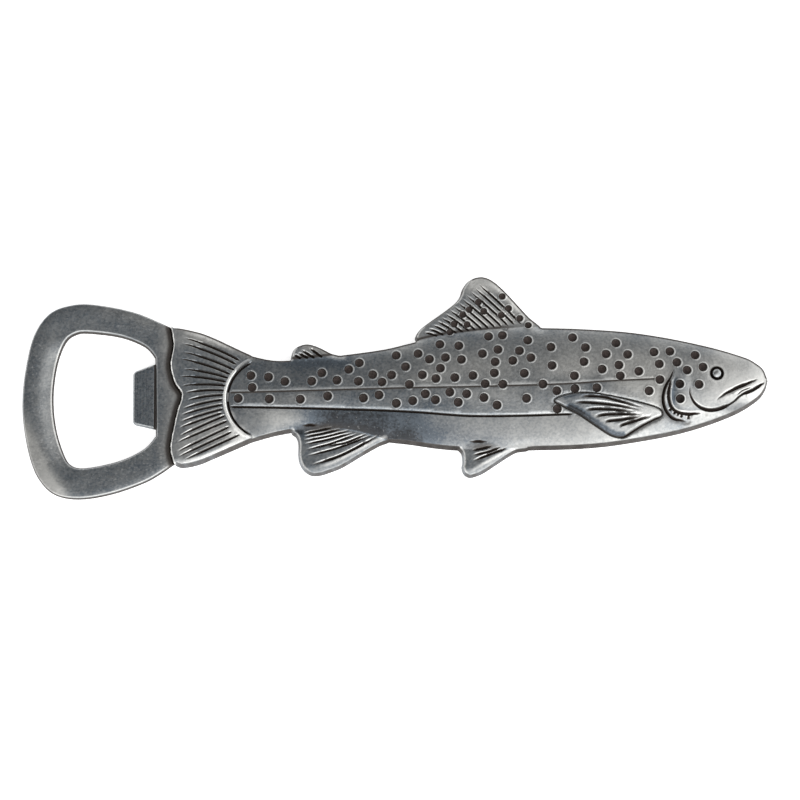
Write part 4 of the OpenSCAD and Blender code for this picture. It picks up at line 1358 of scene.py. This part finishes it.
def make_camera():
    """Looks almost straight down, as the object lies on its back."""
    elevation = math.radians(CAMERA_ELEVATION)
    back = Vector((0, -math.cos(elevation), math.sin(elevation)))
    data = bpy.data.cameras.new("camera")
    data.sensor_width = 36
    data.lens = data.sensor_width * CAMERA_DISTANCE / VIEW_WIDTH
    data.clip_start, data.clip_end = 0.05, 20
    camera = add_object("camera", data)
    camera.location = Vector(CAMERA_TARGET) * MM + back * CAMERA_DISTANCE
    aim(camera, -back)
    bpy.context.scene.camera = camera


def make_world():
    """A studio tent: dark overhead, bright low down, brightest from the front and the right."""
    world = bpy.data.worlds.new("studio")
    bpy.context.scene.world = world
    world.use_nodes = True
    n = Nodes(world.node_tree)
    coords = n.add("ShaderNodeTexCoord")

    def toward(direction, low, high, amount):
        dot = n.add("ShaderNodeVectorMath", operation="DOT_PRODUCT")
        n.put(coords.outputs["Generated"], dot.inputs[0])
        n.put(Vector(direction).normalized(), dot.inputs[1])
        return n.range(dot.outputs["Value"], low, high, 0.0, amount)

    light = n.math("ADD", 0.25, toward((0, 0, -1), -0.8, -0.15, 1.0))
    light = n.math("ADD", light, toward((0, -0.74, 0.67), 0.55, 1.0, 1.1))
    light = n.math("ADD", light, toward((1, -0.1, 0.6), 0.5, 1.0, 1.2))
    background = world.node_tree.nodes["Background"]
    n.put(light, background.inputs["Strength"])
    n.put((1, 1, 1, 1), background.inputs["Color"])


def make_lights():
    """One large softbox in front of the object."""
    data = bpy.data.lights.new("key", "AREA")
    data.shape = "RECTANGLE"
    data.size, data.size_y = 0.9, 0.5
    data.energy = 2
    light = add_object("key", data)
    light.location = (0.15, -0.9, 0.75)
    aim(light, -Vector(light.location))


def make_floor():
    """A pale floor just under the object, slightly lit from within like a light table."""
    half, z = 3.0, -0.0002
    mesh = bpy.data.meshes.new("floor")
    mesh.from_pydata([(-half, -half, z), (half, -half, z), (half, half, z), (-half, half, z)],
                     [], [(0, 1, 2, 3)])
    material, n, shader = new_material("floor")
    n.put((0.94, 0.94, 0.94, 1), shader.inputs["Base Color"])
    n.put(0.9, shader.inputs["Roughness"])
    n.put(0.0, shader.inputs["Specular IOR Level"])
    n.put((1, 1, 1, 1), shader.inputs["Emission Color"])
    n.put(0.65, shader.inputs["Emission Strength"])
    mesh.materials.append(material)
    floor = add_object("floor", mesh)


make_camera()
make_world()
make_lights()
make_floor()
bpy.context.scene.view_settings.view_transform = "Standard"

finish_piece(fish_piece(), pewter("antique_pewter"), "fish_body")
finish_piece(opener_piece(), pewter("ring_pewter", scuffs=0.33), "opener_frame")
finish_piece(lip_piece(), pewter("lip_steel", 0.28, brushed=(3, 0.05, 1)), "pry_lip")
finish_piece(rivets_piece(), pewter("rivet_steel", even_tarnish=0.35), "tang_rivets")
finish_piece(enamel_piece(), fired_enamel(), "spot_enamel")
finish_piece(eye_piece(), pewter("eye_metal", 0.2), "eye_stud")
